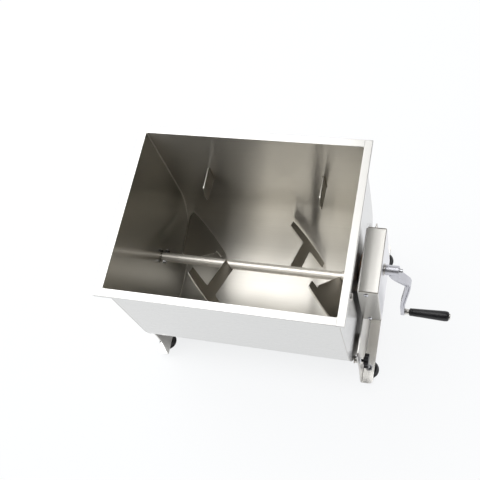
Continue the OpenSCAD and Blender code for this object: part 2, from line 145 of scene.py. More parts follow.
@dataclass(frozen=True)
class Finish:
    """Common part of every finish: a named material built once."""

    name: str
    colour: str

    def build(self) -> bpy.types.Material:
        """Makes the material, or finds it when it was made before.

        Returns:
            The material.
        """
        found = bpy.data.materials.get(self.name)
        if found is None:
            found = bpy.data.materials.new(self.name)
            found.use_nodes = True
            found.node_tree.nodes.clear()
            shader = self.wire(found.node_tree)
            node(found.node_tree, "ShaderNodeOutputMaterial", {"Surface": shader})
        return found

    def wire(self, tree: bpy.types.NodeTree) -> bpy.types.NodeSocket:
        """Builds the shader in a tree and returns its output socket."""
        raise NotImplementedError


@dataclass(frozen=True)
class BrushedSteel(Finish):
    """Brushed stainless sheet: long fine scratches, faint streaks and smudges, stretched highlights.

    Sizes of marks are in millimetres. The real grit leaves scratches of 0.1 to 0.2 mm, too fine to show, so
    they are drawn 0.6 mm wide, and the streaks are groups of scratches 1.5 mm wide or more.
    """

    grain: Grain = Grain.ALONG_X
    rough: float = 0.27
    stretch: float = 0.75
    metal: float = 1.0
    scratch: float = 0.01
    wear: float = 1.0
    streak_wide: float = 1.5625
    streak_long: float = 400.0
    scratch_wide: float = 0.5882
    scratch_long: float = 45.45
    smudge_size: float = 111.1
    streak_tone: float = 0.04
    dark_share: float = 0.55
    groove_rough: Tuple[float, float] = (-0.012, 0.018)
    smudge_rough: float = 0.015
    scratch_depth: float = 0.00004

    def marks(self, tree: bpy.types.NodeTree, long: float, wide: float, detail: float,
              roughness: float) -> bpy.types.NodeSocket:
        """Draws uneven marks that run along the grain.

        Args:
            tree: the material's nodes.
            long: their length, in millimetres.
            wide: their width, in millimetres.
            detail: octaves of their unevenness.
            roughness: weight of its finer octaves.

        Returns:
            A value from 0 to 1.
        """
        where = node(tree, "ShaderNodeTexCoord").outputs["Object"]
        scale = [per_metre(long if c else wide) for c in self.grain.value]
        drawn = node(tree, "ShaderNodeMapping", {"Vector": where}, {"Scale": scale})
        return node(tree, "ShaderNodeTexNoise", {"Vector": drawn.outputs[0]},
                    {"Scale": 1.0, "Detail": detail, "Roughness": roughness}).outputs["Fac"]

    def tangent(self, tree: bpy.types.NodeTree) -> bpy.types.NodeSocket:
        """Finds the grain's direction in the world.

        Args:
            tree: the material's nodes.

        Returns:
            The direction, worked out from the normal on a turned rod.
        """
        turned = self.grain is Grain.AROUND_X
        axis = Grain.ALONG_X.value if turned else self.grain.value
        turn = node(tree, "ShaderNodeVectorTransform", None, {"Vector": axis},
                    vector_type="VECTOR", convert_from="OBJECT", convert_to="WORLD")
        if turned:
            facing = node(tree, "ShaderNodeNewGeometry")
            turn = node(tree, "ShaderNodeVectorMath", {0: facing.outputs["Normal"], 1: turn.outputs[0]},
                        operation="CROSS_PRODUCT")
        return turn.outputs[0]

    def wire(self, tree: bpy.types.NodeTree) -> bpy.types.NodeSocket:
        """Builds the brushed steel shader from object coordinates in metres.

        Args:
            tree: the material's nodes.

        Returns:
            The shader's output socket.
        """
        fine = self.marks(tree, self.scratch_long, self.scratch_wide, detail=3.0, roughness=0.65)
        streak = self.marks(tree, self.streak_long, self.streak_wide, detail=2.0, roughness=0.6)
        smudge = self.marks(tree, self.smudge_size, self.smudge_size, detail=2.0, roughness=0.5)
        tone = node(tree, "ShaderNodeMapRange", {"Value": streak},
                    {"From Min": 0.25, "From Max": 0.75, "To Min": 1.0 - self.streak_tone * self.wear,
                     "To Max": 1.0})
        colour = node(tree, "ShaderNodeMix", {0: tone.outputs[0]},
                      {6: dimmed(self.colour, self.dark_share), 7: linear(self.colour)}, data_type="RGBA")
        grooves = node(tree, "ShaderNodeMapRange", {"Value": fine},
                       {"From Min": 0.3, "From Max": 0.7, "To Min": self.rough + self.groove_rough[0],
                        "To Max": self.rough + self.groove_rough[1]})
        dulled = node(tree, "ShaderNodeMapRange", {"Value": smudge},
                      {"From Min": 0.3, "From Max": 0.75, "To Min": 0.0,
                       "To Max": self.smudge_rough * self.wear})
        rough = node(tree, "ShaderNodeMath", {0: grooves.outputs[0], 1: dulled.outputs[0]}, operation="ADD")
        bump = node(tree, "ShaderNodeBump", {"Height": fine},
                    {"Strength": self.scratch, "Distance": self.scratch_depth})
        shader = node(tree, "ShaderNodeBsdfPrincipled",
                      {"Base Color": colour.outputs[2], "Roughness": rough.outputs[0],
                       "Normal": bump.outputs[0], "Tangent": self.tangent(tree)},
                      {"Metallic": self.metal, "Anisotropic": self.stretch, "Anisotropic Rotation": 0.25})
        return shader.outputs[0]


@dataclass(frozen=True)
class TurnedMetal(Finish):
    """Turned, cast or plated metal with fine tool marks or a faint cast texture.

    `mark` is their spacing in millimetres: a real tool leaves 0.1 to 0.2 mm, drawn here about 1 mm so that
    the marks show; `patch` is the size of the duller patches, as large as fingers leave.
    """

    rough: float = 0.25
    mark: float = 1.1111
    bumpiness: float = 0.1
    variation: float = 0.08
    metal: float = 1.0
    patch: float = 22.22
    dark_share: float = 0.86
    mark_depth: float = 0.0002

    def wire(self, tree: bpy.types.NodeTree) -> bpy.types.NodeSocket:
        """Builds a metal shader with a small even bump and uneven gloss.

        Args:
            tree: the material's nodes.

        Returns:
            The shader's output socket.
        """
        where = node(tree, "ShaderNodeTexCoord").outputs["Object"]
        fine = node(tree, "ShaderNodeTexNoise", {"Vector": where},
                    {"Scale": per_metre(self.mark), "Detail": 3.0, "Roughness": 0.6})
        broad = node(tree, "ShaderNodeTexNoise", {"Vector": where},
                     {"Scale": per_metre(self.patch), "Detail": 3.0, "Roughness": 0.6})
        rough = node(tree, "ShaderNodeMapRange", {"Value": broad.outputs["Fac"]},
                     {"From Min": 0.3, "From Max": 0.7, "To Min": self.rough - self.variation / 2,
                      "To Max": self.rough + self.variation})
        colour = node(tree, "ShaderNodeMix", {0: broad.outputs["Fac"]},
                      {6: dimmed(self.colour, self.dark_share), 7: linear(self.colour)}, data_type="RGBA")
        bump = node(tree, "ShaderNodeBump", {"Height": fine.outputs["Fac"]},
                    {"Strength": self.bumpiness, "Distance": self.mark_depth})
        shader = node(tree, "ShaderNodeBsdfPrincipled",
                      {"Base Color": colour.outputs[2], "Roughness": rough.outputs[0],
                       "Normal": bump.outputs[0]}, {"Metallic": self.metal})
        return shader.outputs[0]


@dataclass(frozen=True)
class Moulded(Finish):
    """Moulded plastic or rubber with a faint pebbled skin.

    `pebble` and `dust` are sizes in millimetres; a mould's pebbles are about 0.3 mm, drawn larger to show.
    """

    rough: float = 0.4
    pebble: float = 0.7143
    bumpiness: float = 0.12
    dust: float = 16.67
    dust_rough: Tuple[float, float] = (-0.04, 0.1)
    pebble_depth: float = 0.00025

    def wire(self, tree: bpy.types.NodeTree) -> bpy.types.NodeSocket:
        """Builds the moulded shader.

        Args:
            tree: the material's nodes.

        Returns:
            The shader's output socket.
        """
        where = node(tree, "ShaderNodeTexCoord").outputs["Object"]
        fine = node(tree, "ShaderNodeTexNoise", {"Vector": where},
                    {"Scale": per_metre(self.pebble), "Detail": 2.0, "Roughness": 0.5})
        dust = node(tree, "ShaderNodeTexNoise", {"Vector": where},
                    {"Scale": per_metre(self.dust), "Detail": 4.0, "Roughness": 0.6})
        rough = node(tree, "ShaderNodeMapRange", {"Value": dust.outputs["Fac"]},
                     {"From Min": 0.35, "From Max": 0.7, "To Min": self.rough + self.dust_rough[0],
                      "To Max": self.rough + self.dust_rough[1]})
        bump = node(tree, "ShaderNodeBump", {"Height": fine.outputs["Fac"]},
                    {"Strength": self.bumpiness, "Distance": self.pebble_depth})
        shader = node(tree, "ShaderNodeBsdfPrincipled",
                      {"Roughness": rough.outputs[0], "Normal": bump.outputs[0]},
                      {"Base Color": linear(self.colour)})
        return shader.outputs[0]


@dataclass(frozen=True)
class Paper(Finish):
    """Plain matt white of the studio floor, shown as an even white to the eye and in reflections, except for
    a painted shadow under the machine.

    `under` and `fade` are the half sizes and the soft edge, in metres, of that painted shadow, a darker patch
    under the machine; `least` is what is left of the glow there for each kind of ray.
    """

    glow: float = 0.92
    white: str = "fdfeff"
    under: Tuple[float, float] = (0.222, 0.15)
    fade: float = 0.05
    least: Tuple[Tuple[str, float], ...] = (("Is Camera Ray", 0.8), ("Is Glossy Ray", 0.03))

    def clear(self, tree: bpy.types.NodeTree) -> bpy.types.NodeSocket:
        """Tells how far a place on the floor lies outside the painted shadow under the machine.

        Args:
            tree: the material's nodes.

        Returns:
            A value from 0 under the machine to 1 outside.
        """
        where = node(tree, "ShaderNodeSeparateXYZ", {0: node(tree, "ShaderNodeTexCoord").outputs["Object"]})
        gaps = []
        for axis, half, middle in (("X", self.under[0], SHIFT * MM), ("Y", self.under[1], 0.0)):
            off = node(tree, "ShaderNodeMath", {0: where.outputs[axis]}, {1: middle}, operation="SUBTRACT")
            size = node(tree, "ShaderNodeMath", {0: off.outputs[0]}, None, operation="ABSOLUTE")
            gaps.append(node(tree, "ShaderNodeMapRange", {"Value": size.outputs[0]},
                             {"From Min": half - self.fade, "From Max": half + self.fade},
                             interpolation_type="SMOOTHSTEP").outputs[0])
        return node(tree, "ShaderNodeMath", {0: gaps[0], 1: gaps[1]}, operation="MAXIMUM").outputs[0]

    def wire(self, tree: bpy.types.NodeTree) -> bpy.types.NodeSocket:
        """Builds a diffuse shader with a white glow for camera and mirror rays, dimmed under the machine as a
        painted shadow.

        Args:
            tree: the material's nodes.

        Returns:
            The shader's output socket.
        """
        matt = node(tree, "ShaderNodeBsdfDiffuse", None, {"Color": linear(self.colour)})
        lit = node(tree, "ShaderNodeEmission", None, {"Color": linear(self.white), "Strength": 1.0})
        ray = node(tree, "ShaderNodeLightPath")
        clear = self.clear(tree)
        parts = []
        # painted shadow: under the machine each kind of ray keeps only its `least` share of the glow
        for kind, least in self.least:
            shade = node(tree, "ShaderNodeMapRange", {"Value": clear}, {"To Min": least, "To Max": self.glow})
            parts.append(node(tree, "ShaderNodeMath", {0: ray.outputs[kind], 1: shade.outputs[0]},
                              operation="MULTIPLY").outputs[0])
        share = node(tree, "ShaderNodeMath", {0: parts[0], 1: parts[1]}, operation="MAXIMUM")
        mixed = node(tree, "ShaderNodeMixShader",
                     {0: share.outputs[0], 1: matt.outputs[0], 2: lit.outputs[0]})
        return mixed.outputs[0]


class Kit:
    """Every finish of the machine, named for the real material and, where it carries painted light, for that
    too.
    """

    # outer tank walls: pale, with soft highlights stretched round the tank
    WALL = BrushedSteel("brushed_stainless_wall", "e3e3e2", Grain.ALONG_X, rough=0.26, stretch=0.8)
    END = BrushedSteel("brushed_stainless_end", "e6e6e6", Grain.ALONG_Y, rough=0.24, stretch=0.75)
    # inside of the tank: painted shade, a darker and warmer colour than the outside of the same sheet;
    # duller, with long streaks and upright bands of reflection
    WALL_IN = BrushedSteel("brushed_stainless_wall_inside_painted_shade", "d3d0c9", Grain.ALONG_X, rough=0.31, stretch=0.88,
                           wear=2.4, streak_wide=2.381)
    END_IN = BrushedSteel("brushed_stainless_end_inside_painted_shade", "b9b6af", Grain.ALONG_Y, rough=0.18, stretch=0.7,
                          wear=2.0, streak_wide=2.381)
    # flat rim strips, brushed along their length; their upper faces are painted shade, darker than the rest
    # of the sheet
    RIM_X = BrushedSteel("brushed_stainless_rim_x_painted_shade", "b8b7b4", Grain.ALONG_X, rough=0.30, stretch=0.6)
    RIM_Y = BrushedSteel("brushed_stainless_rim_y_painted_shade", "b8b7b4", Grain.ALONG_Y, rough=0.30, stretch=0.6)
    # paddles and comb plates: painted shade, a darker colour than the tank's sheet, with a lighter colour on
    # their cut edges as a painted highlight
    PADDLE = BrushedSteel("brushed_stainless_paddle_painted_shade", "96928b", Grain.ALONG_Y, rough=0.30, stretch=0.4)
    EDGE = BrushedSteel("plate_edge_painted_highlight", "dcd9d2", Grain.ALONG_Z, rough=0.3, stretch=0.2)
    # side plates, and the upper side of their foot flanges in a lighter colour: painted light, for the more
    # light that it catches
    STAND = BrushedSteel("brushed_stainless_stand", "d3d1cd", Grain.ALONG_Y, rough=0.28, stretch=0.7)
    FLANGE = BrushedSteel("brushed_stainless_flange_painted_light", "f6f4f0", Grain.ALONG_Y, rough=0.22, stretch=0.6)
    # gear cover: its folded sides, and its outer face in a lighter colour as painted light
    COVER = BrushedSteel("brushed_stainless_cover", "dad8d3", Grain.ALONG_X, rough=0.28, stretch=0.75)
    COVER_FACE = BrushedSteel("brushed_stainless_cover_face_painted_light", "f2f2f5", Grain.ALONG_Y, rough=0.3, stretch=0.6)
    # satin tube: fine rings around it, with a matt share that keeps it bright inside the tank
    TUBE = BrushedSteel("satin_stainless_tube", "f8f3ea", Grain.AROUND_X, rough=0.42, stretch=0.7, metal=0.6)
    # small bright but not mirror-like screws
    BOLT = TurnedMetal("satin_zinc_bolt", "f2f2f4", rough=0.44, mark=1.4286, bumpiness=0.05, variation=0.06)
    # weld bead, slightly straw-tinted and rippled
    WELD = TurnedMetal("tig_weld_bead", "a39c90", rough=0.36, mark=1.6667, bumpiness=0.3, variation=0.15)
    # fine turned steel with a clean gloss
    POLISHED = TurnedMetal("turned_stainless", "d4d1cc", rough=0.20, mark=1.25, bumpiness=0.05,
                           variation=0.06)
    # bright plated screws with sharp highlights
    ZINC = TurnedMetal("bright_zinc_plate", "d9dade", rough=0.16, mark=1.4286, bumpiness=0.05, variation=0.08)
    # porous brown bearing bronze with an oil film
    BRONZE = TurnedMetal("oiled_sinter_bronze", "8c6a4c", rough=0.38, mark=0.6667, bumpiness=0.25,
                         variation=0.1)
    # dark greased gear steel
    GEAR = TurnedMetal("oiled_gear_steel", "5a5754", rough=0.34, mark=1.1111, bumpiness=0.2, variation=0.1)
    # blackened steel of the lock screw, the collars and the narrow open joints; also the painted shade on the
    # coupling's open end and in the cover screws' slots
    DARK = TurnedMetal("blackened_steel", "4c4a49", rough=0.36, mark=1.1111, bumpiness=0.2, variation=0.1)
    # cast crank with the faint pebbling of its mould
    CAST = TurnedMetal("cast_aluminium", "dcdce2", rough=0.36, mark=2.0833, bumpiness=0.35,
                       variation=0.1, metal=0.9)
    # hard glossy plastic of the grip and the knob
    PLASTIC = Moulded("black_moulded_plastic", "1b1a1e", rough=0.33)
    # dull rubber of the feet
    RUBBER = Moulded("black_rubber", "1a191b", rough=0.55, pebble=1.1111, bumpiness=0.2)
    # white paper floor
    FLOOR = Paper("studio_floor", "ffffff")


# Mesh helpers

# points nearer than this, in millimetres, are made one: in skins, and in plates cut from curves
MERGE, PLATE_MERGE = 1e-5, 1e-4
# a turned end closes on a hole of this radius, in millimetres, which its cap fills
LEAST_RADIUS = 1e-4
# a corner cut shorter than this, in millimetres, is left sharp
LEAST_CUT = 1e-3
# a corner's arc takes at most this share of each side that meets there
SIDE_SHARE = 0.45
# angle between two sides, in radians, above which they count as one straight line
NEARLY_STRAIGHT = 3.0


def place(mesh: bpy.types.Mesh, *turns: Matrix) -> bpy.types.Mesh:
    """Applies matrices in millimetres, then moves the mesh into the row frame in metres.

    Args:
        mesh: mesh in millimetres.
        turns: matrices, applied one after the other.

    Returns:
        The same mesh, moved.
    """
    for turn in turns:
        mesh.transform(turn)
    mesh.transform(Matrix.Scale(MM, 4) @ Matrix.Translation((SHIFT, 0.0, 0.0)))
    return mesh


def skin(points: Sequence[Sequence[float]], faces: Sequence[Sequence[int]]) -> bpy.types.Mesh:
    """Makes a mesh from points and faces, with its normals turned outward.

    Args:
        points: corners in millimetres.
        faces: point numbers of each face.

    Returns:
        The mesh, with coinciding points merged.
    """
    mesh = bpy.data.meshes.new("skin")
    mesh.from_pydata([tuple(p) for p in points], [], [tuple(f) for f in faces])
    work = bmesh.new()
    work.from_mesh(mesh)
    bmesh.ops.remove_doubles(work, verts=work.verts, dist=MERGE)
    bmesh.ops.recalc_face_normals(work, faces=work.faces)
    work.to_mesh(mesh)
    work.free()
    return mesh


def soften(points: Sequence[Point], radius: float, closed: bool = True, steps: int = 3) -> List[Point]:
    """Rounds the corners of a 2D line with short arcs.

    Args:
        points: corners.
        radius: largest cut length along each side of a corner.
        closed: whether the last point joins the first.
        steps: arc segments per corner.

    Returns:
        The line with each sharp corner replaced by an arc.
    """
    made: List[Point] = []
    count = len(points)
    for i, here in enumerate(points):
        if not closed and i in (0, count - 1):
            made.append(tuple(here))
            continue
        p, q, r = Vector(points[i - 1]), Vector(here), Vector(points[(i + 1) % count])
        to_p, to_r = p - q, r - q
        cut = min(radius, to_p.length * SIDE_SHARE, to_r.length * SIDE_SHARE)
        if cut < LEAST_CUT or to_p.angle(to_r) > NEARLY_STRAIGHT:
            made.append(tuple(q))
            continue
        a, b = q + to_p.normalized() * cut, q + to_r.normalized() * cut
        for k in range(steps + 1):
            t = k / steps
            s = a * (1 - t) ** 2 + q * 2 * t * (1 - t) + b * t * t
            made.append(tuple(s))
    return made


def loft(rings: Sequence[Sequence[Point3]], caps: bool = True, loop: bool = False) -> bpy.types.Mesh:
    """Joins rings of equal length into a skin.

    Args:
        rings: closed rings of points.
        caps: closes the first and last ring with one face each.
        loop: joins the last ring back to the first.

    Returns:
        The skin as a mesh.
    """
    n = len(rings[0])
    points = [p for ring in rings for p in ring]
    faces: List[List[int]] = []
    spans = len(rings) if loop else len(rings) - 1
    for r in range(spans):
        a, b = r * n, ((r + 1) % len(rings)) * n
        faces += [[a + i, a + (i + 1) % n, b + (i + 1) % n, b + i] for i in range(n)]
    if caps and not loop:
        faces += [list(range(n)), list(range((len(rings) - 1) * n, len(rings) * n))]
    return skin(points, faces)


def lathe(profile: Sequence[Point], closed: bool, steps: int, edge: float) -> bpy.types.Mesh:
    """Turns a profile of (distance along, radius) around the local Z axis.

    Args:
        profile: the section; a closed one makes a ring with a bore.
        closed: whether the section is closed.
        steps: segments around.
        edge: rounding of the section's corners.

    Returns:
        The turned piece as a mesh.
    """
    rings = [[(x, y, along) for x, y in circle(max(radius, LEAST_RADIUS), steps=steps)]
             for along, radius in soften(profile, edge, closed)]
    return loft(rings, caps=not closed, loop=closed)


def plate(loops: Sequence[Sequence[Point]], thick: float, edge: float, steps: int) -> bpy.types.Mesh:
    """Cuts a flat plate with holes and rounded edges, centred on the local XY plane.

    Args:
        loops: outline first, then holes, in millimetres.
        thick: plate thickness.
        edge: edge rounding.
        steps: bevel segments beyond one.

    Returns:
        The plate as a mesh.
    """
    curve = bpy.data.curves.new("plate", "CURVE")
    curve.dimensions = "2D"
    curve.fill_mode = "BOTH"
    curve.extrude = thick / 2 - edge
    curve.bevel_depth = edge
    curve.bevel_resolution = steps
    curve.offset = -edge
    for loop in loops:
        spline = curve.splines.new("POLY")
        spline.points.add(len(loop) - 1)
        for point, (x, y) in zip(spline.points, loop):
            point.co = (x, y, 0.0, 1.0)
        spline.use_cyclic_u = True
    made = bpy.data.objects.new("plate", curve)
    mesh = baked(made)
    bpy.data.objects.remove(made)
    bpy.data.curves.remove(curve)
    work = bmesh.new()
    work.from_mesh(mesh)
    bmesh.ops.remove_doubles(work, verts=work.verts, dist=PLATE_MERGE)
    bmesh.ops.dissolve_degenerate(work, dist=PLATE_MERGE, edges=work.edges)
    bmesh.ops.recalc_face_normals(work, faces=work.faces)
    work.to_mesh(mesh)
    work.free()
    return mesh


def baked(obj: bpy.types.Object) -> bpy.types.Mesh:
    """Evaluates an object with its modifiers.

    Args:
        obj: mesh or curve object, in the scene or not.

    Returns:
        A new mesh of what it evaluates to.
    """
    linked = obj.name in bpy.context.scene.collection.objects
    if not linked:
        bpy.context.scene.collection.objects.link(obj)
    bpy.context.view_layer.update()
    graph = bpy.context.evaluated_depsgraph_get()
    mesh = bpy.data.meshes.new_from_object(obj.evaluated_get(graph))
    if not linked:
        bpy.context.scene.collection.objects.unlink(obj)
    return mesh


def joined(meshes: Iterable[bpy.types.Mesh]) -> bpy.types.Mesh:
    """Puts several meshes into one.

    Args:
        meshes: the meshes, which are kept.

    Returns:
        A new mesh with all their faces.
    """
    work = bmesh.new()
    for mesh in meshes:
        work.from_mesh(mesh)
    made = bpy.data.meshes.new("joined")
    work.to_mesh(made)
    work.free()
    return made


def bevelled(mesh: bpy.types.Mesh, width: float, steps: int, angle: float) -> bpy.types.Mesh:
    """Rounds the sharp edges of a mesh in millimetres.

    Args:
        mesh: the mesh.
        width: width of the rounding.
        steps: its segments.
        angle: least angle, in degrees, of an edge that is rounded.

    Returns:
        A new mesh.
    """
    obj = bpy.data.objects.new("bevelled", mesh)
    cut = obj.modifiers.new("edge", "BEVEL")
    cut.width = width
    cut.segments = steps
    cut.limit_method = "ANGLE"
    cut.angle_limit = math.radians(angle)
    cut.harden_normals = False
    made = baked(obj)
    bpy.data.objects.remove(obj)
    return made


def tube(path: Sequence[Point3], radius: float) -> bpy.types.Mesh:
    """Sweeps a round bead along a line of points.

    Args:
        path: the points.
        radius: radius of the bead.

    Returns:
        The bead as a mesh, closed at both ends.
    """
    curve = bpy.data.curves.new("bead", "CURVE")
    curve.dimensions = "3D"
    curve.bevel_depth = radius
    curve.bevel_resolution = 2
    curve.use_fill_caps = True
    spline = curve.splines.new("POLY")
    spline.points.add(len(path) - 1)
    for point, co in zip(spline.points, path):
        point.co = (*co, 1.0)
    obj = bpy.data.objects.new("bead", curve)
    mesh = baked(obj)
    bpy.data.objects.remove(obj)
    bpy.data.curves.remove(curve)
    return mesh


def circle(radius: float, middle: Point = (0.0, 0.0), steps: int = 48) -> List[Point]:
    """Draws a circle in a drawing plane.

    Args:
        radius: its radius.
        middle: its centre.
        steps: number of points.

    Returns:
        The points, the first one on the plane's first axis.
    """
    angles = [2 * math.pi * k / steps for k in range(steps)]
    return [(middle[0] + radius * math.cos(t), middle[1] + radius * math.sin(t)) for t in angles]


# drawing axes x, y, z laid on Y, Z, X and on X, Z, -Y of the machine
TO_X = Matrix(((0, 0, 1, 0), (1, 0, 0, 0), (0, 1, 0, 0), (0, 0, 0, 1)))
TO_Y = Matrix(((1, 0, 0, 0), (0, 0, -1, 0), (0, 1, 0, 0), (0, 0, 0, 1)))


def at(x: float, y: float, z: float) -> Matrix:
    """Makes a move in millimetres."""
    return Matrix.Translation((x, y, z))


def about(axis: str, degrees: float) -> Matrix:
    """Makes a turn about an axis, in degrees."""
    return Matrix.Rotation(math.radians(degrees), 4, axis)


# how strongly large faces pull the shading normals flat, out of 100
FLAT_WEIGHT = 80
# largest angles, in degrees, that are shaded smooth: on rolled sheet, bent plate, cut plate and beads
ROLLED_SMOOTH, BENT_SMOOTH, PLATE_SMOOTH, BEAD_SMOOTH = 25.0, 30.0, 50.0, 60.0
# cosine between a face's normal and an axis: above the first it faces it, below the second it is an edge
FACING, EDGE_FACING = 0.9, 0.3


def finished(name: str, mesh: bpy.types.Mesh, finish: Finish, body: Body, replaced: Sequence[str] = (),
             slot: str = "", smooth: float = 40.0) -> bpy.types.Object:
    """Shades a placed mesh and hands it over to its body.

    Args:
        name: piece name.
        mesh: mesh in the row frame, in metres.
        finish: its finish.
        body: CAD body that it rides on.
        replaced: CAD nodes that it stands for.
        slot: material slot of the record; not used.
        smooth: largest angle, in degrees, that is shaded smooth.

    Returns:
        The finished piece.
    """
    mesh.name = name
    mesh.materials.clear()
    mesh.materials.append(finish.build())
    mesh.shade_smooth()
    mesh.set_sharp_from_angle(angle=math.radians(smooth))
    obj = bpy.data.objects.new(name, mesh)
    bpy.context.scene.collection.objects.link(obj)
    weigh = obj.modifiers.new("flat_faces", "WEIGHTED_NORMAL")
    weigh.keep_sharp = True
    weigh.weight = FLAT_WEIGHT
    flat = baked(obj)
    obj.modifiers.clear()
    obj.data = flat
    flat.name = name
    bpy.data.meshes.remove(mesh)
    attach(obj, body.value)
    if replaced:
        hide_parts(*replaced)
    LOG.info("%s: %d faces", name, len(flat.polygons))
    return obj


def paint(obj: bpy.types.Object, finish: Finish, chosen: Callable[[Vector, Vector], bool]) -> None:
    """Gives some faces of a piece a second finish.

    Args:
        obj: the piece.
        finish: finish of the chosen faces.
        chosen: tells from a face's centre and normal whether it is chosen.
    """
    obj.data.materials.append(finish.build())
    index = len(obj.data.materials) - 1
    for face in obj.data.polygons:
        if chosen(face.center, face.normal):
            face.material_index = index


# Repeats by geometry nodes


class Repeats:
    """Geometry Nodes groups that make the repeated details."""

    SPHERE = {"Segments": 10, "Rings": 6}
    # a ripple's share of the full size, from the smallest to the largest, and how flat it is
    RIPPLE_SIZE = {2: 0.9, 3: 1.1}
    RIPPLE_FLAT = 0.75
    # each copy's own turn about its axis, in radians
    SPIN = {2: -3.0, 3: 3.0}

    @staticmethod
    def group(name: str, sockets: Sequence[Tuple[str, str]]) -> bpy.types.NodeTree:
        """Makes an empty group.

        Args:
            name: name of the group.
            sockets: label and kind of each input after the geometry and before the material.

        Returns:
            The group.
        """
        made = bpy.data.node_groups.new(name, "GeometryNodeTree")
        for label, kind in (("Geometry", "Geometry"), *sockets, ("Seed", "Int"), ("Material", "Material")):
            made.interface.new_socket(label, in_out="INPUT", socket_type=f"NodeSocket{kind}")
        made.interface.new_socket("Geometry", in_out="OUTPUT", socket_type="NodeSocketGeometry")
        return made

    @staticmethod
    def close(tree: bpy.types.NodeTree, source: bpy.types.NodeSocket,
              material: bpy.types.NodeSocket) -> None:
        """Ends a group: instances made real, painted and put out.

        Args:
            tree: the group.
            source: the instances.
            material: their material.
        """
        real = node(tree, "GeometryNodeRealizeInstances", {"Geometry": source})
        painted = node(tree, "GeometryNodeSetMaterial", {"Geometry": real.outputs[0], "Material": material})
        node(tree, "NodeGroupOutput", {"Geometry": painted.outputs[0]})

    @classmethod
    def ripples(cls) -> bpy.types.NodeTree:
        """Makes the group of overlapping weld ripples along an edge chain.

        Returns:
            The group, made the first time it is asked for.
        """
        found = bpy.data.node_groups.get("weld_ripples")
        if found:
            return found
        tree = cls.group("weld_ripples", [("Pitch", "Float"), ("Radius", "Float")])
        given = node(tree, "NodeGroupInput")
        line = node(tree, "GeometryNodeMeshToCurve", {"Mesh": given.outputs["Geometry"]})
        dots = node(tree, "GeometryNodeResampleCurve", {"Curve": line.outputs[0]}, mode="LENGTH")
        tree.links.new(given.outputs["Pitch"], dots.inputs["Length"])
        ball = node(tree, "GeometryNodeMeshUVSphere", {"Radius": given.outputs["Radius"]}, cls.SPHERE)
        along = node(tree, "GeometryNodeInputTangent")
        turn = node(tree, "FunctionNodeAlignRotationToVector", {"Vector": along.outputs[0]}, None, axis="Z")
        size = node(tree, "FunctionNodeRandomValue", {"Seed": given.outputs["Seed"]}, cls.RIPPLE_SIZE,
                    data_type="FLOAT")
        flat = node(tree, "ShaderNodeCombineXYZ", {"X": size.outputs[1], "Y": size.outputs[1]},
                    {"Z": cls.RIPPLE_FLAT})
        spread = node(tree, "GeometryNodeInstanceOnPoints",
                      {"Points": dots.outputs[0], "Instance": ball.outputs[0], "Rotation": turn.outputs[0],
                       "Scale": flat.outputs[0]})
        cls.close(tree, spread.outputs[0], given.outputs["Material"])
        return tree

    @classmethod
    def copies(cls) -> bpy.types.NodeTree:
        """Makes the group that repeats one object on points, each turned by the point's own angles.

        Returns:
            The group, made the first time it is asked for.
        """
        found = bpy.data.node_groups.get("copies_on_points")
        if found:
            return found
        tree = cls.group("copies_on_points", [("Item", "Object")])
        given = node(tree, "NodeGroupInput")
        item = node(tree, "GeometryNodeObjectInfo", {"Object": given.outputs["Item"]})
        turn = node(tree, "GeometryNodeInputNamedAttribute", None, {"Name": "turn"}, data_type="FLOAT_VECTOR")
        angles = node(tree, "FunctionNodeEulerToRotation", {"Euler": turn.outputs[0]})
        spin = node(tree, "FunctionNodeRandomValue", {"Seed": given.outputs["Seed"]}, cls.SPIN,
                    data_type="FLOAT")
        own = node(tree, "ShaderNodeCombineXYZ", {"Z": spin.outputs[1]})
        own_turn = node(tree, "FunctionNodeEulerToRotation", {"Euler": own.outputs[0]})
        both = node(tree, "FunctionNodeRotateRotation",
                    {"Rotation": angles.outputs[0], "Rotate By": own_turn.outputs[0]}, None,
                    rotation_space="LOCAL")
        spread = node(tree, "GeometryNodeInstanceOnPoints",
                      {"Points": given.outputs["Geometry"], "Instance": item.outputs["Geometry"],
                       "Rotation": both.outputs[0]})
        cls.close(tree, spread.outputs[0], given.outputs["Material"])
        return tree

    @staticmethod
    def run(group: bpy.types.NodeTree, mesh: bpy.types.Mesh, inputs: Dict[str, Any]) -> bpy.types.Mesh:
        """Runs a group on a mesh.

        Args:
            group: the group.
            mesh: what it starts from.
            inputs: input label to value.

        Returns:
            The result as a new mesh.
        """
        obj = bpy.data.objects.new("repeat", mesh)
        bpy.context.scene.collection.objects.link(obj)
        mod = obj.modifiers.new("repeat", "NODES")
        mod.node_group = group
        names = {s.name: s.identifier for s in group.interface.items_tree if s.in_out == "INPUT"}
        for key, value in inputs.items():
            mod[names[key]] = value
        made = baked(obj)
        bpy.data.objects.remove(obj)
        return made

    @classmethod
    def weld(cls, path: Sequence[Point3], radius: float, pitch: float, seed: int,
             closed: bool = False) -> bpy.types.Mesh:
        """Lays a rippled weld bead along a path, in millimetres.

        Args:
            path: points of the seam.
            radius: radius of a ripple.
            pitch: distance between ripples.
            seed: seed of their uneven sizes.
            closed: whether the last point joins the first.

        Returns:
            The bead as a mesh.
        """
        count = len(path)
        edges = [(i, i + 1) for i in range(count - 1)] + ([(count - 1, 0)] if closed else [])
        mesh = bpy.data.meshes.new("path")
        mesh.from_pydata([tuple(p) for p in path], edges, [])
        return cls.run(cls.ripples(), mesh, {"Pitch": pitch, "Radius": radius, "Seed": seed,
                                             "Material": Kit.WELD.build()})

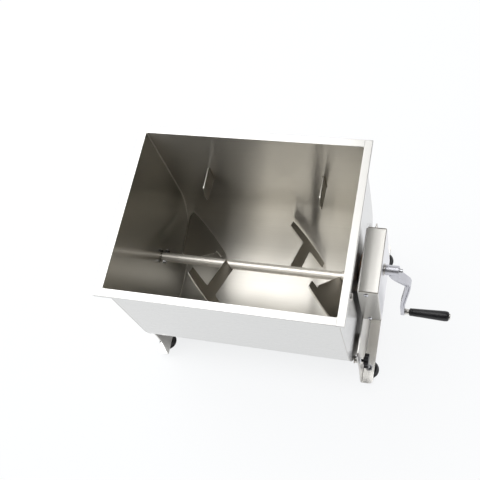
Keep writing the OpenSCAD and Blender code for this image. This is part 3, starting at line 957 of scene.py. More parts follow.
    @classmethod
    def spread(cls, item: bpy.types.Mesh, spots: Sequence[Point3], turns: Sequence[Point3], finish: Finish,
               seed: int = 5) -> bpy.types.Mesh:
        """Repeats a mesh at several spots, in millimetres.

        Args:
            item: the mesh.
            spots: where its copies go.
            turns: their angles about X, Y and Z, in radians.
            finish: their finish.
            seed: seed of each copy's own turn about its axis.

        Returns:
            The copies as one mesh.
        """
        thing = bpy.data.objects.new("item", item)
        bpy.context.scene.collection.objects.link(thing)
        mesh = bpy.data.meshes.new("spots")
        mesh.from_pydata([tuple(p) for p in spots], [], [])
        mesh.attributes.new("turn", "FLOAT_VECTOR", "POINT").data.foreach_set(
            "vector", [c for t in turns for c in t])
        made = cls.run(cls.copies(), mesh, {"Item": thing, "Seed": seed, "Material": finish.build()})
        bpy.data.objects.remove(thing)
        return made


# Assemblies

# section of a turned piece as (distance along, radius) points, in millimetres
Profile = Tuple[Point, ...]


@dataclass(frozen=True)
class Turned:
    """A piece turned on a lathe and dressed as one CAD node."""

    name: str
    stands_for: str
    finish: Finish
    slot: str
    profile: Profile
    bored: bool
    steps: int = 48
    edge: float = 0.5
    smooth: float = 40.0

    def build(self, body: Body, line: Matrix) -> bpy.types.Object:
        """Turns the piece about a line and hands it over.

        Args:
            body: CAD body that it rides on.
            line: takes the lathe's axis to its place, in millimetres.

        Returns:
            The finished piece.
        """
        mesh = place(lathe(self.profile, self.bored, self.steps, self.edge), line)
        return finished(self.name, mesh, self.finish, body, [self.stands_for], self.slot, self.smooth)


def ring_weld(x: float, middle: Point, radius: float, steps: int, bead: Point, seed: int) -> bpy.types.Mesh:
    """Lays a rippled weld round a turned foot, in a plane across X.

    Args:
        x: where the plane is.
        middle: centre of the ring, in Y and Z.
        radius: its radius.
        steps: its number of points.
        bead: radius of a ripple and distance between ripples.
        seed: seed of the uneven ripples.

    Returns:
        The weld as a mesh.
    """
    path = [(x, y, z) for y, z in circle(radius, middle, steps)]
    return Repeats.weld(path, bead[0], bead[1], seed, True)


@dataclass
class Tank:
    """Open tank: U-shaped trough, two end plates, folded rim, comb plates and pivots."""

    half_in: float = 210.5
    trough_r: float = 162.0
    sheet: float = 1.5
    axis: float = SHAFT_Z
    top: float = 440.0
    arc_steps: int = 72
    trough_overlap: float = 0.05
    # the darker inside colour, a painted shade, is painted up to this far below the top, on faces that look
    # across X
    paint_below: float = 1.0
    across_x: float = 0.5
    shaft_hole: float = 9.2
    end_edge: float = 0.55
    # seams along the end plates: radius, and how far they stand out or are sunk
    seam_r: float = 1.5
    seam_in: float = 0.2
    seam_shrink: float = 0.9988
    outer_seam_r: float = 0.4
    outer_seam_out: float = 0.1
    outer_seam_sunk: float = 0.2
    # rim: outer half sizes, folded edge and the thin dark joints at its corners
    rim_x: float = 225.0
    rim_y: float = 177.0
    lip_fold: float = 7.0
    lip_chamfer: float = 0.7
    lip_round: float = 0.45
    rim_gap: float = 0.1
    # the rim's faces that face up more than this keep its darker colour, a painted shade
    rim_facing: float = 0.97
    joint_r: float = 0.35
    # line of a joint as (outward from the wall, height above the top)
    joint: Profile = ((0.8, -0.25), (7.5, -0.25), (14.0, -0.25), (14.7, -1.4), (14.7, -6.2))
    # comb plates: outline as (depth from the wall, height above the lower edge)
    fin_x: Tuple[float, float] = (-114.5, 123.5)
    fin_low: float = 273.0
    fin_high: float = 46.0
    fin_thick: float = 3.0
    fin_edge: float = 0.9
    fin_round: float = 4.0
    fin_outline: Profile = ((-0.4, 0.0), (-0.4, 46.0), (49.0, 46.0), (58.0, 28.0), (58.0, 16.0), (55.5, 9.0),
                            (49.0, 5.0))
    fin_bead: Point = (1.3, 1.3)
    fin_bead_off: float = 1.9
    fin_bead_in: float = 0.4
    fin_bead_end: float = 1.0
    fin_bead_steps: int = 24
    # pivots, measured outward from the end plate
    pivot_plain: Profile = ((0.0, 20.0), (13.0, 20.0), (13.0, 9.05), (0.0, 9.05))
    pivot_flanged: Profile = ((0.0, 30.0), (4.0, 30.0), (4.0, 20.0), (18.0, 20.0), (18.0, 9.05), (0.0, 9.05))
    collar: Profile = ((0.0, 26.0), (3.4, 26.0), (3.4, 20.0), (0.0, 20.0))
    collar_stops: Point = (221.0, 226.3)
    washer: Profile = ((-1.5, 11.0), (0.0, 11.0), (0.0, 9.1), (-1.5, 9.1))
    pivot_bead: Point = (1.3, 1.5)
    pivot_seed: int = 11
    pivot_bead_off: float = 0.5
    # lugs of the lock, where the tank stands upright and where it lies tipped
    lug_spots: Tuple[Point, Point] = (LOCK_AT, (-90.0, 345.0))
    lug: Profile = ((0.0, 7.0), (6.0, 7.0), (6.0, 3.5), (1.5, 3.5), (1.5, 0.0))
    lug_bead: Point = (0.9, 1.0)
    lug_bead_r: float = 7.3
    lug_bead_off: float = 0.4

    def section(self, radius: float) -> List[Point]:
        """Draws the U line from the front wall's top round to the back wall's top.

        Args:
            radius: radius of its round bottom.

        Returns:
            Points (Y, Z).
        """
        high = self.top - self.sheet
        angles = [math.pi * k / self.arc_steps for k in range(self.arc_steps + 1)]
        arc = [(-radius * math.cos(t), self.axis - radius * math.sin(t)) for t in angles]
        return [(-radius, high)] + arc + [(radius, high)]

    def trough(self) -> None:
        """Builds the rolled wall sheet, its inside painted as the worn inner face, darker as painted shade.
        """
        ring = self.section(self.trough_r) + self.section(self.trough_r + self.sheet)[::-1]
        half = self.half_in + self.trough_overlap
        mesh = loft([[(x, y, z) for y, z in ring] for x in (-half, half)])
        made = finished("tank_trough", place(mesh), Kit.WALL, Body.TANK, ["trough"], "tank_sheet",
                        ROLLED_SMOOTH)

        def inside(spot: Vector, normal: Vector) -> bool:
            """Tells whether a face of the wall looks at the shaft line.

            Args:
                spot: the face's centre in metres.
                normal: its outward direction.

            Returns:
                True for a face of the tank's inside below the band under the rim.
            """
            outward = Vector((0.0, spot.y, min(spot.z - self.axis * MM, 0.0)))
            low = spot.z < (self.top - self.paint_below) * MM
            return low and abs(normal.x) < self.across_x and normal.dot(outward) < 0

        # painted shade: the faces inside the tank take the darker inner colour
        paint(made, Kit.WALL_IN, inside)

    def ends(self) -> None:
        """Builds the end plates with softened outer corners."""
        outline = self.section(self.trough_r + self.sheet)
        for side, label in ((-1, "left"), (1, "right")):
            hole = circle(self.shaft_hole, (0.0, self.axis))
            mesh = plate([outline, hole], self.sheet, self.end_edge, steps=2)
            place(mesh, TO_X, at(side * (self.half_in + self.sheet / 2), 0, 0))
            made = finished(f"tank_end_{label}", mesh, Kit.END, Body.TANK, [f"end_plate_{label}"],
                            "tank_sheet", ROLLED_SMOOTH)
            # painted shade: the end plates' inner faces take the darker inner colour
            paint(made, Kit.END_IN, lambda spot, normal: normal.x * side < -FACING)

    def seams(self) -> None:
        """Builds the ground weld fillets inside and outside along the end plates."""
        beads, lines = [], []
        for side in (-1, 1):
            shrunk = []
            for y, z in self.section(self.trough_r):
                share = self.seam_shrink if z < self.axis else 1.0
                shrunk.append((side * (self.half_in - self.seam_in), y * self.seam_shrink,
                               self.axis + (z - self.axis) * share))
            beads.append(tube(shrunk, self.seam_r))
            lines.append(tube([(side * (self.half_in + self.outer_seam_out), y, z) for y, z in
                               self.section(self.trough_r + self.sheet - self.outer_seam_sunk)],
                              self.outer_seam_r))
        # the inner seams take the inside's darker colour, a painted shade
        for name, seam, finish in (("tank_inner_seams", beads, Kit.WALL_IN),
                                   ("tank_outer_seams", lines, Kit.WELD)):
            finished(name, place(joined(seam)), finish, Body.TANK, slot="tank_sheet", smooth=BEAD_SMOOTH)

    def rim(self) -> None:
        """Builds the folded lip: the short sides run through, the long ones are butted between them."""
        wide = self.rim_y - self.trough_r
        squeeze = (self.rim_x - self.half_in) / wide
        down, cut = -self.lip_fold, self.lip_chamfer
        lip = soften([(0.0, 0.0), (wide - cut, 0.0), (wide, -cut), (wide, down), (wide - self.sheet, down),
                      (wide - self.sheet, -self.sheet), (0.0, -self.sheet)], self.lip_round, True, 3)

        def butt(x: float, sy: int, d: float, z: float) -> Point3:
            """Gives a point of the lip where it is cut square, d outward from the wall."""
            return (x, sy * (self.trough_r + d), self.top + z)

        def corner(sx: int, sy: int, d: float, z: float) -> Point3:
            """Gives a point of the lip at a mitred corner, d outward from the wall."""
            return butt(sx * (self.half_in + d * squeeze), sy, d, z)

        long_side, short_side, lines = [], [], []
        for s in (-1, 1):
            cuts = [e * (self.half_in - self.rim_gap) for e in (-1, 1)]
            long_side.append(loft([[butt(x, s, d, z) for d, z in lip] for x in cuts]))
            end = s * (self.half_in + self.rim_gap)
            short_side.append(loft([[butt(end, -1, d, z) for d, z in lip],
                                    [corner(s, -1, d, z) for d, z in lip],
                                    [corner(s, 1, d, z) for d, z in lip],
                                    [butt(end, 1, d, z) for d, z in lip]]))
            for sy in (-1, 1):
                lines.append(tube([butt(s * self.half_in, sy, d, z) for d, z in self.joint], self.joint_r))
        for name, sides, finish, stands_for in (
                ("rim_long_sides", long_side, Kit.RIM_X, "rim_long_strips"),
                ("rim_short_sides", short_side, Kit.RIM_Y, "rim_short_strips")):
            made = finished(name, place(joined(sides)), finish, Body.TANK, [stands_for], "tank_sheet")
            # painted shade: the rim's upper faces keep the darker rim colour, its folded sides take the
            # wall's lighter one
            paint(made, Kit.WALL, lambda spot, normal: abs(normal.z) < self.rim_facing)
        finished("rim_corner_welds", place(joined(lines)), Kit.DARK, Body.TANK, slot="tank_sheet",
                 smooth=BEAD_SMOOTH)

    def fins(self) -> None:
        """Builds the comb plates on the back wall with their weld beads."""
        wall, low = self.trough_r, self.fin_low
        outline = soften([(wall - deep, low + z) for deep, z in self.fin_outline], self.fin_round, True, 4)
        fins, beads = [], []
        for x in self.fin_x:
            fin = plate([outline], self.fin_thick, self.fin_edge, steps=2)
            fin.transform(at(x, 0, 0) @ TO_X)
            fins.append(fin)
            for side in (-1, 1):
                step = (self.fin_high - 2 * self.fin_bead_end) / self.fin_bead_steps
                path = [(x + side * self.fin_bead_off, wall - self.fin_bead_in,
                         low + self.fin_bead_end + k * step) for k in range(self.fin_bead_steps + 1)]
                beads.append(Repeats.weld(path, *self.fin_bead, int(x) + side))
        made = finished("comb_plates", place(joined(fins)), Kit.PADDLE, Body.TANK, ["wall_fins"],
                        "tank_sheet", PLATE_SMOOTH)
        # painted highlight: the comb plates' cut edges take the lighter edge colour
        paint(made, Kit.EDGE, lambda spot, normal: abs(normal.x) < EDGE_FACING)
        finished("comb_plate_welds", place(joined(beads)), Kit.WELD, Body.TANK, slot="tank_sheet",
                 smooth=BEAD_SMOOTH)

    def pivots(self) -> None:
        """Builds the hollow pivots, their collars, the inner washers and the lock lugs."""
        out = self.half_in + self.sheet
        collars, washers, beads = [], [], []
        for side, label, shape, stop in ((-1, "left", self.pivot_plain, self.collar_stops[0]),
                                         (1, "right", self.pivot_flanged, self.collar_stops[1])):
            line = at(0, 0, self.axis) @ about("Z", 0 if side > 0 else 180) @ TO_X
            Turned(f"pivot_{label}", f"trunnion_{label}", Kit.POLISHED, "turned_steel", shape, bored=True,
                   steps=72, edge=0.8).build(Body.TANK, line @ at(0, 0, out))
            for profile, start, steps, edge, kept in ((self.collar, stop, 72, 0.6, collars),
                                                      (self.washer, self.half_in, 48, 0.3, washers)):
                loop = lathe(profile, True, steps, edge)
                loop.transform(line @ at(0, 0, start))
                kept.append(loop)
            foot = shape[0][1]
            beads.append(ring_weld(side * (out + self.pivot_bead_off), (0.0, self.axis),
                                   foot + self.pivot_bead_off, steps=60, bead=self.pivot_bead,
                                   seed=self.pivot_seed + side))
        lugs = []
        for y, z in self.lug_spots:
            lug = lathe(self.lug, closed=False, steps=48, edge=0.5)
            lug.transform(at(out, y, z) @ TO_X)
            lugs.append(lug)
            beads.append(ring_weld(out + self.lug_bead_off, (y, z), self.lug_bead_r, steps=40,
                                   bead=self.lug_bead, seed=int(z)))
        for name, meshes, finish, stands_for in (
                ("pivot_collars", collars, Kit.DARK, "trunnion_collars"),
                ("thrust_washers_inside", washers, Kit.POLISHED, "thrust_washers"),
                ("lock_lugs_turned", lugs, Kit.POLISHED, "lock_lugs")):
            finished(name, place(joined(meshes)), finish, Body.TANK, [stands_for], "turned_steel")
        finished("pivot_welds", place(joined(beads)), Kit.WELD, Body.TANK, slot="turned_steel",
                 smooth=BEAD_SMOOTH)

    def build(self) -> None:
        """Builds and dresses the whole tank."""
        self.trough()
        self.ends()
        self.seams()
        self.rim()
        self.fins()
        self.pivots()


@dataclass
class MixingShaft:
    """Tube with four pitched paddles, pinned to its stub and its drive coupling."""

    axis: float = SHAFT_Z
    rest: float = -42.5
    pitch: float = 52.8
    reach: float = 156.0
    bar_r: float = 124.0
    bar_half: float = 58.5
    arm_half: float = 12.5
    corner: float = 3.0
    corner_round: float = 1.6
    fan_half: float = 41.0
    fan_drop: float = 12.0
    fan_foot: Point = (2.0, 16.0)
    thick: float = 3.0
    edge: float = 0.7
    tip_steps: int = 16
    places: Tuple[float, float, float, float] = (-156.0, -61.0, 75.0, 172.0)
    # welds at the feet: ripples, and how far they stand off the tube and the plate
    bead: Point = (1.4, 1.4)
    bead_steps: int = 39
    bead_lift: float = 0.2
    bead_off: float = 0.5
    # turned pieces along X
    tube_section: Profile = ((-208.7, 7.0), (-208.7, 9.5), (198.0, 9.5), (198.0, 7.0))
    stub_section: Profile = ((-224.0, 0.0), (-224.0, 9.0), (-208.7, 9.0), (-208.7, 7.0), (-182.7, 7.0),
                             (-182.7, 0.0))
    coupling_section: Profile = ((173.0, 9.55), (173.0, 11.5), (208.7, 11.5), (208.7, 9.0), (245.0, 9.0),
                                 (245.0, 0.0), (198.0, 0.0), (198.0, 9.55))
    # painted shade: the open end of the coupling's sleeve is painted dark up to this X, standing for the
    # shade at its step onto the tube
    coupling_shade_end: float = 174.5
    coupling_shade_facing: float = 0.6
    wheel_bolt: Profile = ((245.0, 0.0), (245.0, 13.0), (247.0, 13.0), (247.0, 6.5), (251.0, 6.5),
                           (251.0, 0.0))
    # bolts across the shaft: X, diameter of what they cross, side of the head, length of the tail
    cross_bolts: Tuple[Tuple[float, float, int, float], ...] = (
        (-202.7, 19.0, -1, 7.0), (183.0, 23.0, 1, -0.5))
    bolt_r: float = 3.0
    bolt_head: Profile = ((0.0, 0.0), (0.0, 5.2), (3.4, 5.2), (4.0, 4.3), (4.0, 0.0))
    nut_r: float = 5.75
    nut_high: float = 5.0
    nut_off: float = 12.0

    def plane(self, x: float) -> Matrix:
        """Gives a paddle's plane: local x across, local y out from the shaft."""
        return at(x, 0, self.axis) @ about("X", self.rest) @ about("Y", self.pitch)

    def tip(self, sign: int) -> List[Point]:
        """Draws the outer edge of a paddle, which sweeps a cylinder.

        Args:
            sign: side of the shaft that the paddle stands on.

        Returns:
            Points from its right end to its left end.
        """
        made = []
        for k in range(self.tip_steps + 1):
            off = self.bar_half - 2 * self.bar_half * k / self.tip_steps
            across = off * math.sin(math.radians(self.pitch))
            made.append((off, sign * math.sqrt(self.reach ** 2 - across ** 2)))
        return made

    def tee(self, sign: int) -> List[Point]:
        """Draws a T paddle.

        Args:
            sign: side of the shaft that the paddle stands on.

        Returns:
            Its outline.
        """
        b, a, c, bar = self.bar_half, self.arm_half, self.corner, self.bar_r
        right = [(a, c), (a, bar - c), (a + c, bar), (b, bar)]
        left = [(-x, y) for x, y in right[:0:-1]]
        return ([(-a, c * sign)] + [(x, sign * y) for x, y in right] + self.tip(sign)
                + [(x, sign * y) for x, y in left])

    def fan(self, sign: int, end: int) -> List[Point]:
        """Draws an end paddle.

        Args:
            sign: side of the shaft that the paddle stands on.
            end: side of its tank end.

        Returns:
            Its outline.
        """
        b, bar = self.bar_half, sign * self.bar_r
        tip = self.tip(sign) if end > 0 else self.tip(sign)[::-1]
        near, far = self.fan_foot
        low = sign * (self.bar_r - self.fan_drop)
        return ([(-end * near, self.corner * sign), (end * far, self.corner * sign), (end * b, bar)] + tip
                + [(-end * b, bar), (-end * self.fan_half, bar), (-end * self.fan_half, low)])

    def foot_bead(self, x: float, sign: int, span: Point, radius: float) -> bpy.types.Mesh:
        """Welds a paddle's foot where its two faces meet the tube.

        Args:
            x: the paddle's place.
            sign: side of the shaft that it stands on.
            span: ends of the foot across the paddle.
            radius: radius of the tube there.

        Returns:
            The weld as a mesh.
        """
        sin_p, cos_p = math.sin(math.radians(self.pitch)), math.cos(math.radians(self.pitch))
        lifted = radius + self.bead_lift
        beads = []
        for face in (-1, 1):
            path = []
            off = face * (self.thick / 2 + self.bead_off)
            for k in range(self.bead_steps + 1):
                s = span[0] + (span[1] - span[0]) * k / self.bead_steps
                across = s * sin_p + off * cos_p
                if abs(across) < lifted:
                    path.append((s, sign * math.sqrt(lifted ** 2 - across ** 2), off))
            if len(path) > 2:
                bead = Repeats.weld(path, *self.bead, int(x) + face)
                bead.transform(self.plane(x))
                beads.append(bead)
        return joined(beads)

    def paddles(self) -> None:
        """Builds the four paddles with their welds."""
        # name, outline, side of the shaft, ends of the foot across the paddle, radius of the tube there
        shapes = (("paddle_left_end", self.fan(1, -1), 1, (-18, 2), 9.5),
                  ("paddle_left_middle", self.tee(-1), -1, (-12.5, 12.5), 9.5),
                  ("paddle_right_middle", self.tee(1), 1, (-12.5, 12.5), 9.5),
                  ("paddle_right_end", self.fan(-1, 1), -1, (-2, 18), 11.5))
        beads = []
        for x, (label, outline, sign, span, radius) in zip(self.places, shapes):
            outline = soften(outline, self.corner_round, steps=2)
            mesh = plate([outline], self.thick, self.edge, steps=2)
            place(mesh, self.plane(x))
            made = finished(label + "_plate", mesh, Kit.PADDLE, Body.SHAFT, [label], "paddle_plate",
                            PLATE_SMOOTH)
            flat = (self.plane(x).to_3x3() @ Vector((0, 0, 1))).normalized()
            # painted highlight: the paddles' cut edges take the lighter edge colour
            paint(made, Kit.EDGE, lambda spot, normal: abs(normal.dot(flat)) < EDGE_FACING)
            beads.append(self.foot_bead(x, sign, span, radius))
        finished("paddle_welds", place(joined(beads)), Kit.WELD, Body.SHAFT, slot="paddle_plate",
                 smooth=BEAD_SMOOTH)

    def turned(self) -> None:
        """Builds the tube, the stub, the coupling and the wheel bolt."""
        line = at(0, 0, self.axis) @ TO_X
        tube_piece = Turned("shaft_tube_drawn", "shaft_tube", Kit.TUBE, "turned_steel", self.tube_section,
                            bored=True, steps=64)
        stub = Turned("stub_turned", "stub_shaft", Kit.POLISHED, "turned_steel", self.stub_section,
                      bored=False, steps=64, edge=0.6)
        coupling = Turned("coupling_turned", "drive_coupling", Kit.TUBE, "turned_steel",
                          self.coupling_section, bored=True, steps=64, edge=0.7)
        bolt = Turned("wheel_bolt_turned", "wheel_bolt", Kit.ZINC, "bolt_steel", self.wheel_bolt,
                      bored=False)
        made = [piece.build(Body.SHAFT, line) for piece in (tube_piece, stub, coupling, bolt)]
        # painted shade: the coupling's open end face takes the dark finish
        paint(made[2], Kit.DARK, lambda spot, normal: (normal.x < -self.coupling_shade_facing
                                                       and spot.x < (SHIFT + self.coupling_shade_end) * MM))

    def pins(self) -> None:
        """Builds the hexagon bolts across the tube and the coupling, and the one nut."""
        bolts = []
        for x, crossed, side, tail in self.cross_bolts:
            half = crossed / 2
            shank = lathe([(-half - tail, 0), (-half - tail, self.bolt_r), (half, self.bolt_r), (half, 0)],
                          closed=False, steps=24, edge=0.5)
            head = lathe([(half + d, r) for d, r in self.bolt_head], closed=False, steps=6, edge=0.3)
            for mesh in (shank, head):
                mesh.transform(at(x, 0, self.axis) @ about("X", -90 * side))
                bolts.append(mesh)
        finished("cross_bolts_zinc", place(joined(bolts)), Kit.BOLT, Body.SHAFT, ["cross_bolts"],
                 "bolt_steel", BENT_SMOOTH)
        nut = plate([circle(self.nut_r, steps=6), circle(self.bolt_r, steps=24)], self.nut_high, edge=0.45,
                    steps=1)
        place(nut, at(self.cross_bolts[0][0], self.nut_off, self.axis) @ TO_Y)
        finished("cross_nut_zinc", nut, Kit.DARK, Body.SHAFT, ["cross_nut"], "bolt_steel",
                 BENT_SMOOTH)

    def build(self) -> None:
        """Builds and dresses the mixing shaft."""
        self.paddles()
        self.turned()
        self.pins()


@dataclass
class Stand:
    """Two bent side plates joined by channels, with the gear cover, bushes and feet."""

    # inner faces of the left and right plate, from the middle of the tank
    face: Point = (214.0, 220.0)
    thick: float = 3.0
    plate_edge: float = 0.55
    axis: float = SHAFT_Z
    crank: float = CRANK_Z
    corner_steps: int = 6
    ground: float = 161.0
    ground_round: float = 10.0
    shoulder_half: float = 149.0
    shoulder: float = 161.0
    shoulder_round: float = 12.0
    # side edge of a plate as (half width, height)
    flare: Profile = ((158.4, 38.0), (155.0, 50.0), (152.2, 68.0), (150.0, 92.0), (149.0, 112.0))
    neck_half: float = 64.0
    tab_half: float = 64.0
    tab_top: float = 308.0
    ear_r: float = 44.0
    ear_top: float = 215.0
    ear_steps: int = 32
    pivot_hole: float = 23.0
    crank_hole: float = 10.0
    lock_hole: float = 3.05
    lock_spot: Point = LOCK_AT
    # bent-out foot flange
    foot_top: float = 17.0
    bend: float = 1.6
    bend_steps: int = 8
    flange: float = 23.0
    # faces that face up more than this take the flange's lighter colour, painted light
    flange_facing: float = 0.8
    foot_in: float = 11.6
    foot_y: float = 127.0
    foot_hole: float = 4.1
    # lips along the tab of the right plate
    lip_span: Point = (223.0, 241.0)
    lip_low: float = 164.0
    lip_y: float = 62.75
    lip_thick: float = 2.5
    # channels: section as (offset along Y, height), their places and welds
    channel: Profile = ((-22.0, 18.0), (-22.0, 34.0), (22.0, 34.0), (22.0, 18.0), (20.0, 18.0), (20.0, 32.0),
                        (-20.0, 32.0), (-20.0, 18.0))
    channel_round: float = 1.2
    channel_y: Point = (-82.0, 82.0)
    channel_half: float = 22.0
    tie_bead: Point = (1.3, 1.4)
    tie_bead_in: float = 0.6
    tie_bead_z: float = 34.4
    tie_bead_steps: int = 20
    # bushes along X
    bush_in: Profile = ((216.3, 28.0), (219.8, 28.0), (219.8, 23.0), (226.0, 23.0), (226.0, 20.05),
                        (216.3, 20.05))
    bush_out: Profile = ((214.0, 23.0), (217.2, 23.0), (217.2, 28.0), (220.7, 28.0), (220.7, 20.05),
                         (214.0, 20.05))
    crank_bush_in: Profile = ((216.3, 27.0), (219.8, 27.0), (219.8, 10.0), (224.5, 10.0), (224.5, 7.05),
                              (216.3, 7.05))
    crank_bush_out: Profile = ((250.0, 10.0), (259.2, 10.0), (259.2, 11.5), (261.5, 11.5), (261.5, 7.05),
                               (250.0, 7.05))
    # gear cover: half width, lower and upper end, outer end along X
    cover_half: float = 66.0
    cover_low: float = 158.0
    cover_high: float = 310.0
    cover_far: float = 259.0
    # its folded front edge: radius of the fold, and of the corners where it starts and ends
    cover_fold: float = 2.0
    cover_round: Point = (3.0, 0.75)
    cover_round_least: float = 0.8
    # its inside and its open edge as (X, inset, corner radius)
    cover_rings: Tuple[Point3, ...] = ((257.5, 3.4, 0.6), (257.2, 1.6, 1.4), (223.5, 1.5, 1.5),
                                       (223.3, 1.7, 1.5), (223.3, 0.2, 2.8), (223.5, 0.0, 3.0))
    cover_smooth: float = 35.0
    cover_seam_x: Point = (223.7, 257.4)
    cover_seam_r: float = 0.6
    cover_seam_in: float = 0.55
    # screws of the cover: section outward from its side, cross slot and places
    screw: Profile = ((-9.0, 0.0), (-9.0, 2.4), (0.0, 2.4), (0.0, 4.75), (1.2, 4.7), (2.5, 3.4), (3.0, 1.6),
                      (3.0, 0.0))
    slot_half: Point = (2.2, 0.45)
    slot_z: float = 2.62
    screw_x: float = 236.0
    screw_z: Point = (297.0, 167.0)
    # rubber foot and domed bolt as (height, radius)
    foot: Profile = ((0.02, 0.0), (0.02, 10.0), (0.9, 11.0), (0.9, 13.0), (0.02, 14.0), (0.02, 18.8),
                     (1.0, 20.0), (3.0, 20.0), (4.2, 19.4), (5.0, 18.4), (9.5, 17.2), (10.0, 16.8),
                     (10.6, 17.0), (13.9, 16.1), (13.9, 6.0), (13.9, 0.0))
    bolt_shank: Profile = ((4.0, 0.0), (4.0, 4.0), (17.0, 4.0), (17.0, 7.0), (18.1, 7.0))
    dome_r: float = 9.5
    dome_from: float = 45.0
    dome_steps: int = 5
    dome_z: float = 12.5
    # nut of the lock screw
    nut_r: float = 5.75
    nut_high: float = 3.0
    nut_x: float = 224.5

    def flat(self, right: bool) -> List[List[Point]]:
        """Draws a side plate unfolded, in (Y, height along the sheet).

        Args:
            right: whether it is the right plate, which carries the crank and the lock.

        Returns:
            Its outline, then its holes.
        """
        arc = (self.bend + self.thick / 2) * math.pi / 2
        start = self.foot_top + self.bend
        end = start - arc - (self.flange - self.bend)
        g, s, neck, up = self.ground, self.shoulder_half, self.neck_half, self.shoulder
        low = soften([(g, start + 2), (g, end), (-g, end), (-g, start + 2)], self.ground_round,
                     closed=False, steps=self.corner_steps)
        if right:
            half = self.tab_half
            high = [(half, up), (half, self.tab_top), (-half, self.tab_top), (-half, up)]
        else:
            angles = [math.pi * k / self.ear_steps for k in range(1, self.ear_steps)]
            arch = [(self.ear_r * math.cos(t), self.ear_top + self.ear_r * math.sin(t)) for t in angles]
            high = ([(self.ear_r, up), (self.ear_r, self.ear_top)] + arch
                    + [(-self.ear_r, self.ear_top), (-self.ear_r, up)])
        side = [(-y, z) for y, z in self.flare]
        shoulder = soften([side[-1], (-s, up), (-neck, up)], self.shoulder_round,
                          closed=False, steps=self.corner_steps)
        left_edge = side + shoulder[1:-1]
        right_edge = [(-y, z) for y, z in left_edge]
        holes = [circle(self.pivot_hole, (0.0, self.axis), steps=64)]
        if right:
            holes += [circle(self.crank_hole, (0.0, self.crank)),
                      circle(self.lock_hole, self.lock_spot, steps=24)]
        drop = start - arc - (self.foot_in - self.bend)
        holes += [circle(self.foot_hole, (y, drop), steps=24) for y in (-self.foot_y, self.foot_y)]
        return [low + left_edge + high[::-1] + right_edge[::-1]] + holes

    def fold(self, mesh: bpy.types.Mesh, face: float) -> bpy.types.Mesh:
        """Bends an unfolded plate outward along its bend line.

        Args:
            mesh: the flat plate.
            face: where its inner face stands.

        Returns:
            The same mesh, bent.
        """
        start = self.foot_top + self.bend
        radius = self.bend + self.thick / 2
        arc = radius * math.pi / 2
        work = bmesh.new()
        work.from_mesh(mesh)
        for k in range(self.bend_steps + 1):
            bmesh.ops.bisect_plane(work, geom=work.verts[:] + work.edges[:] + work.faces[:], dist=PLATE_MERGE,
                                   plane_co=(0, start - arc * k / self.bend_steps, 0), plane_no=(0, 1, 0))
        for vert in work.verts:
            y, along, off = vert.co
            if along >= start:
                x, z = face + self.thick / 2 + off, along
            else:
                angle = min(start - along, arc) / radius
                rest = max(start - along - arc, 0.0)
                reach = radius - off
                x = face + self.thick + self.bend - reach * math.cos(angle) + rest
                z = start - reach * math.sin(angle)
            vert.co = (x, y, z)
        bmesh.ops.recalc_face_normals(work, faces=work.faces)
        work.to_mesh(mesh)
        work.free()
        return mesh

    def sides(self) -> None:
        """Builds the two side plates, the right one with its lips."""
        near, far = self.lip_span
        lip_outline = [(near, self.lip_low), (far, self.lip_low), (far, self.tab_top), (near, self.tab_top)]
        for right, label, turn in ((True, "right", at(0, 0, 0)), (False, "left", about("Z", 180))):
            sheet = plate(self.flat(right), self.thick, self.plate_edge, steps=1)
            parts = [self.fold(sheet, self.face[right])]
            for s in (-1, 1) if right else ():
                lip = plate([lip_outline], self.lip_thick, edge=0.4, steps=1)
                lip.transform(at(0, s * self.lip_y, 0) @ TO_Y)
                parts.append(lip)
            made = finished(f"side_plate_{label}_bent", place(joined(parts), turn), Kit.STAND, Body.BASE,
                            [f"side_plate_{label}"], "stand_sheet", BENT_SMOOTH)
            # painted light: the upper faces of the foot flanges take the lighter flange colour
            paint(made, Kit.FLANGE, lambda spot, normal: normal.z > self.flange_facing)

    def ties(self) -> None:
        """Builds the folded channels under the tank, welded to the side plates."""
        shape = soften(self.channel, self.channel_round, True, 3)
        ends = (-self.face[0], self.face[1])
        bars, beads = [], []
        for y in self.channel_y:
            bars.append(loft([[(x, y + a, z) for a, z in shape] for x in ends]))
            for x in (ends[0] + self.tie_bead_in, ends[1] - self.tie_bead_in):
                step = 2 * self.channel_half / self.tie_bead_steps
                path = [(x, y - self.channel_half + step * k, self.tie_bead_z)
                        for k in range(self.tie_bead_steps + 1)]
                beads.append(Repeats.weld(path, *self.tie_bead, int(y + x)))
        finished("tie_channels", place(joined(bars)), Kit.STAND, Body.BASE, ["tie_bars"], "stand_sheet",
                 BENT_SMOOTH)
        finished("tie_welds", place(joined(beads)), Kit.WELD, Body.BASE, slot="stand_sheet",
                 smooth=BEAD_SMOOTH)

    def bushes(self) -> None:
        """Builds the bushes of the pivots and of the crank shaft."""
        for turn, label, shape in ((180, "left", self.bush_out), (0, "right", self.bush_in)):
            Turned(f"pivot_bush_{label}_bronze", f"pivot_bush_{label}", Kit.BRONZE, "bronze", shape,
                   bored=True, steps=72).build(Body.BASE, at(0, 0, self.axis) @ about("Z", turn) @ TO_X)
        line = at(0, 0, self.crank) @ TO_X
        Turned("crank_bush_inner_bronze", "crank_bush_inner", Kit.BRONZE, "bronze", self.crank_bush_in,
               bored=True, steps=64).build(Body.BASE, line)
        Turned("crank_bush_outer_steel", "crank_bush_outer", Kit.POLISHED, "turned_steel",
               self.crank_bush_out, bored=True, steps=64).build(Body.BASE, line)

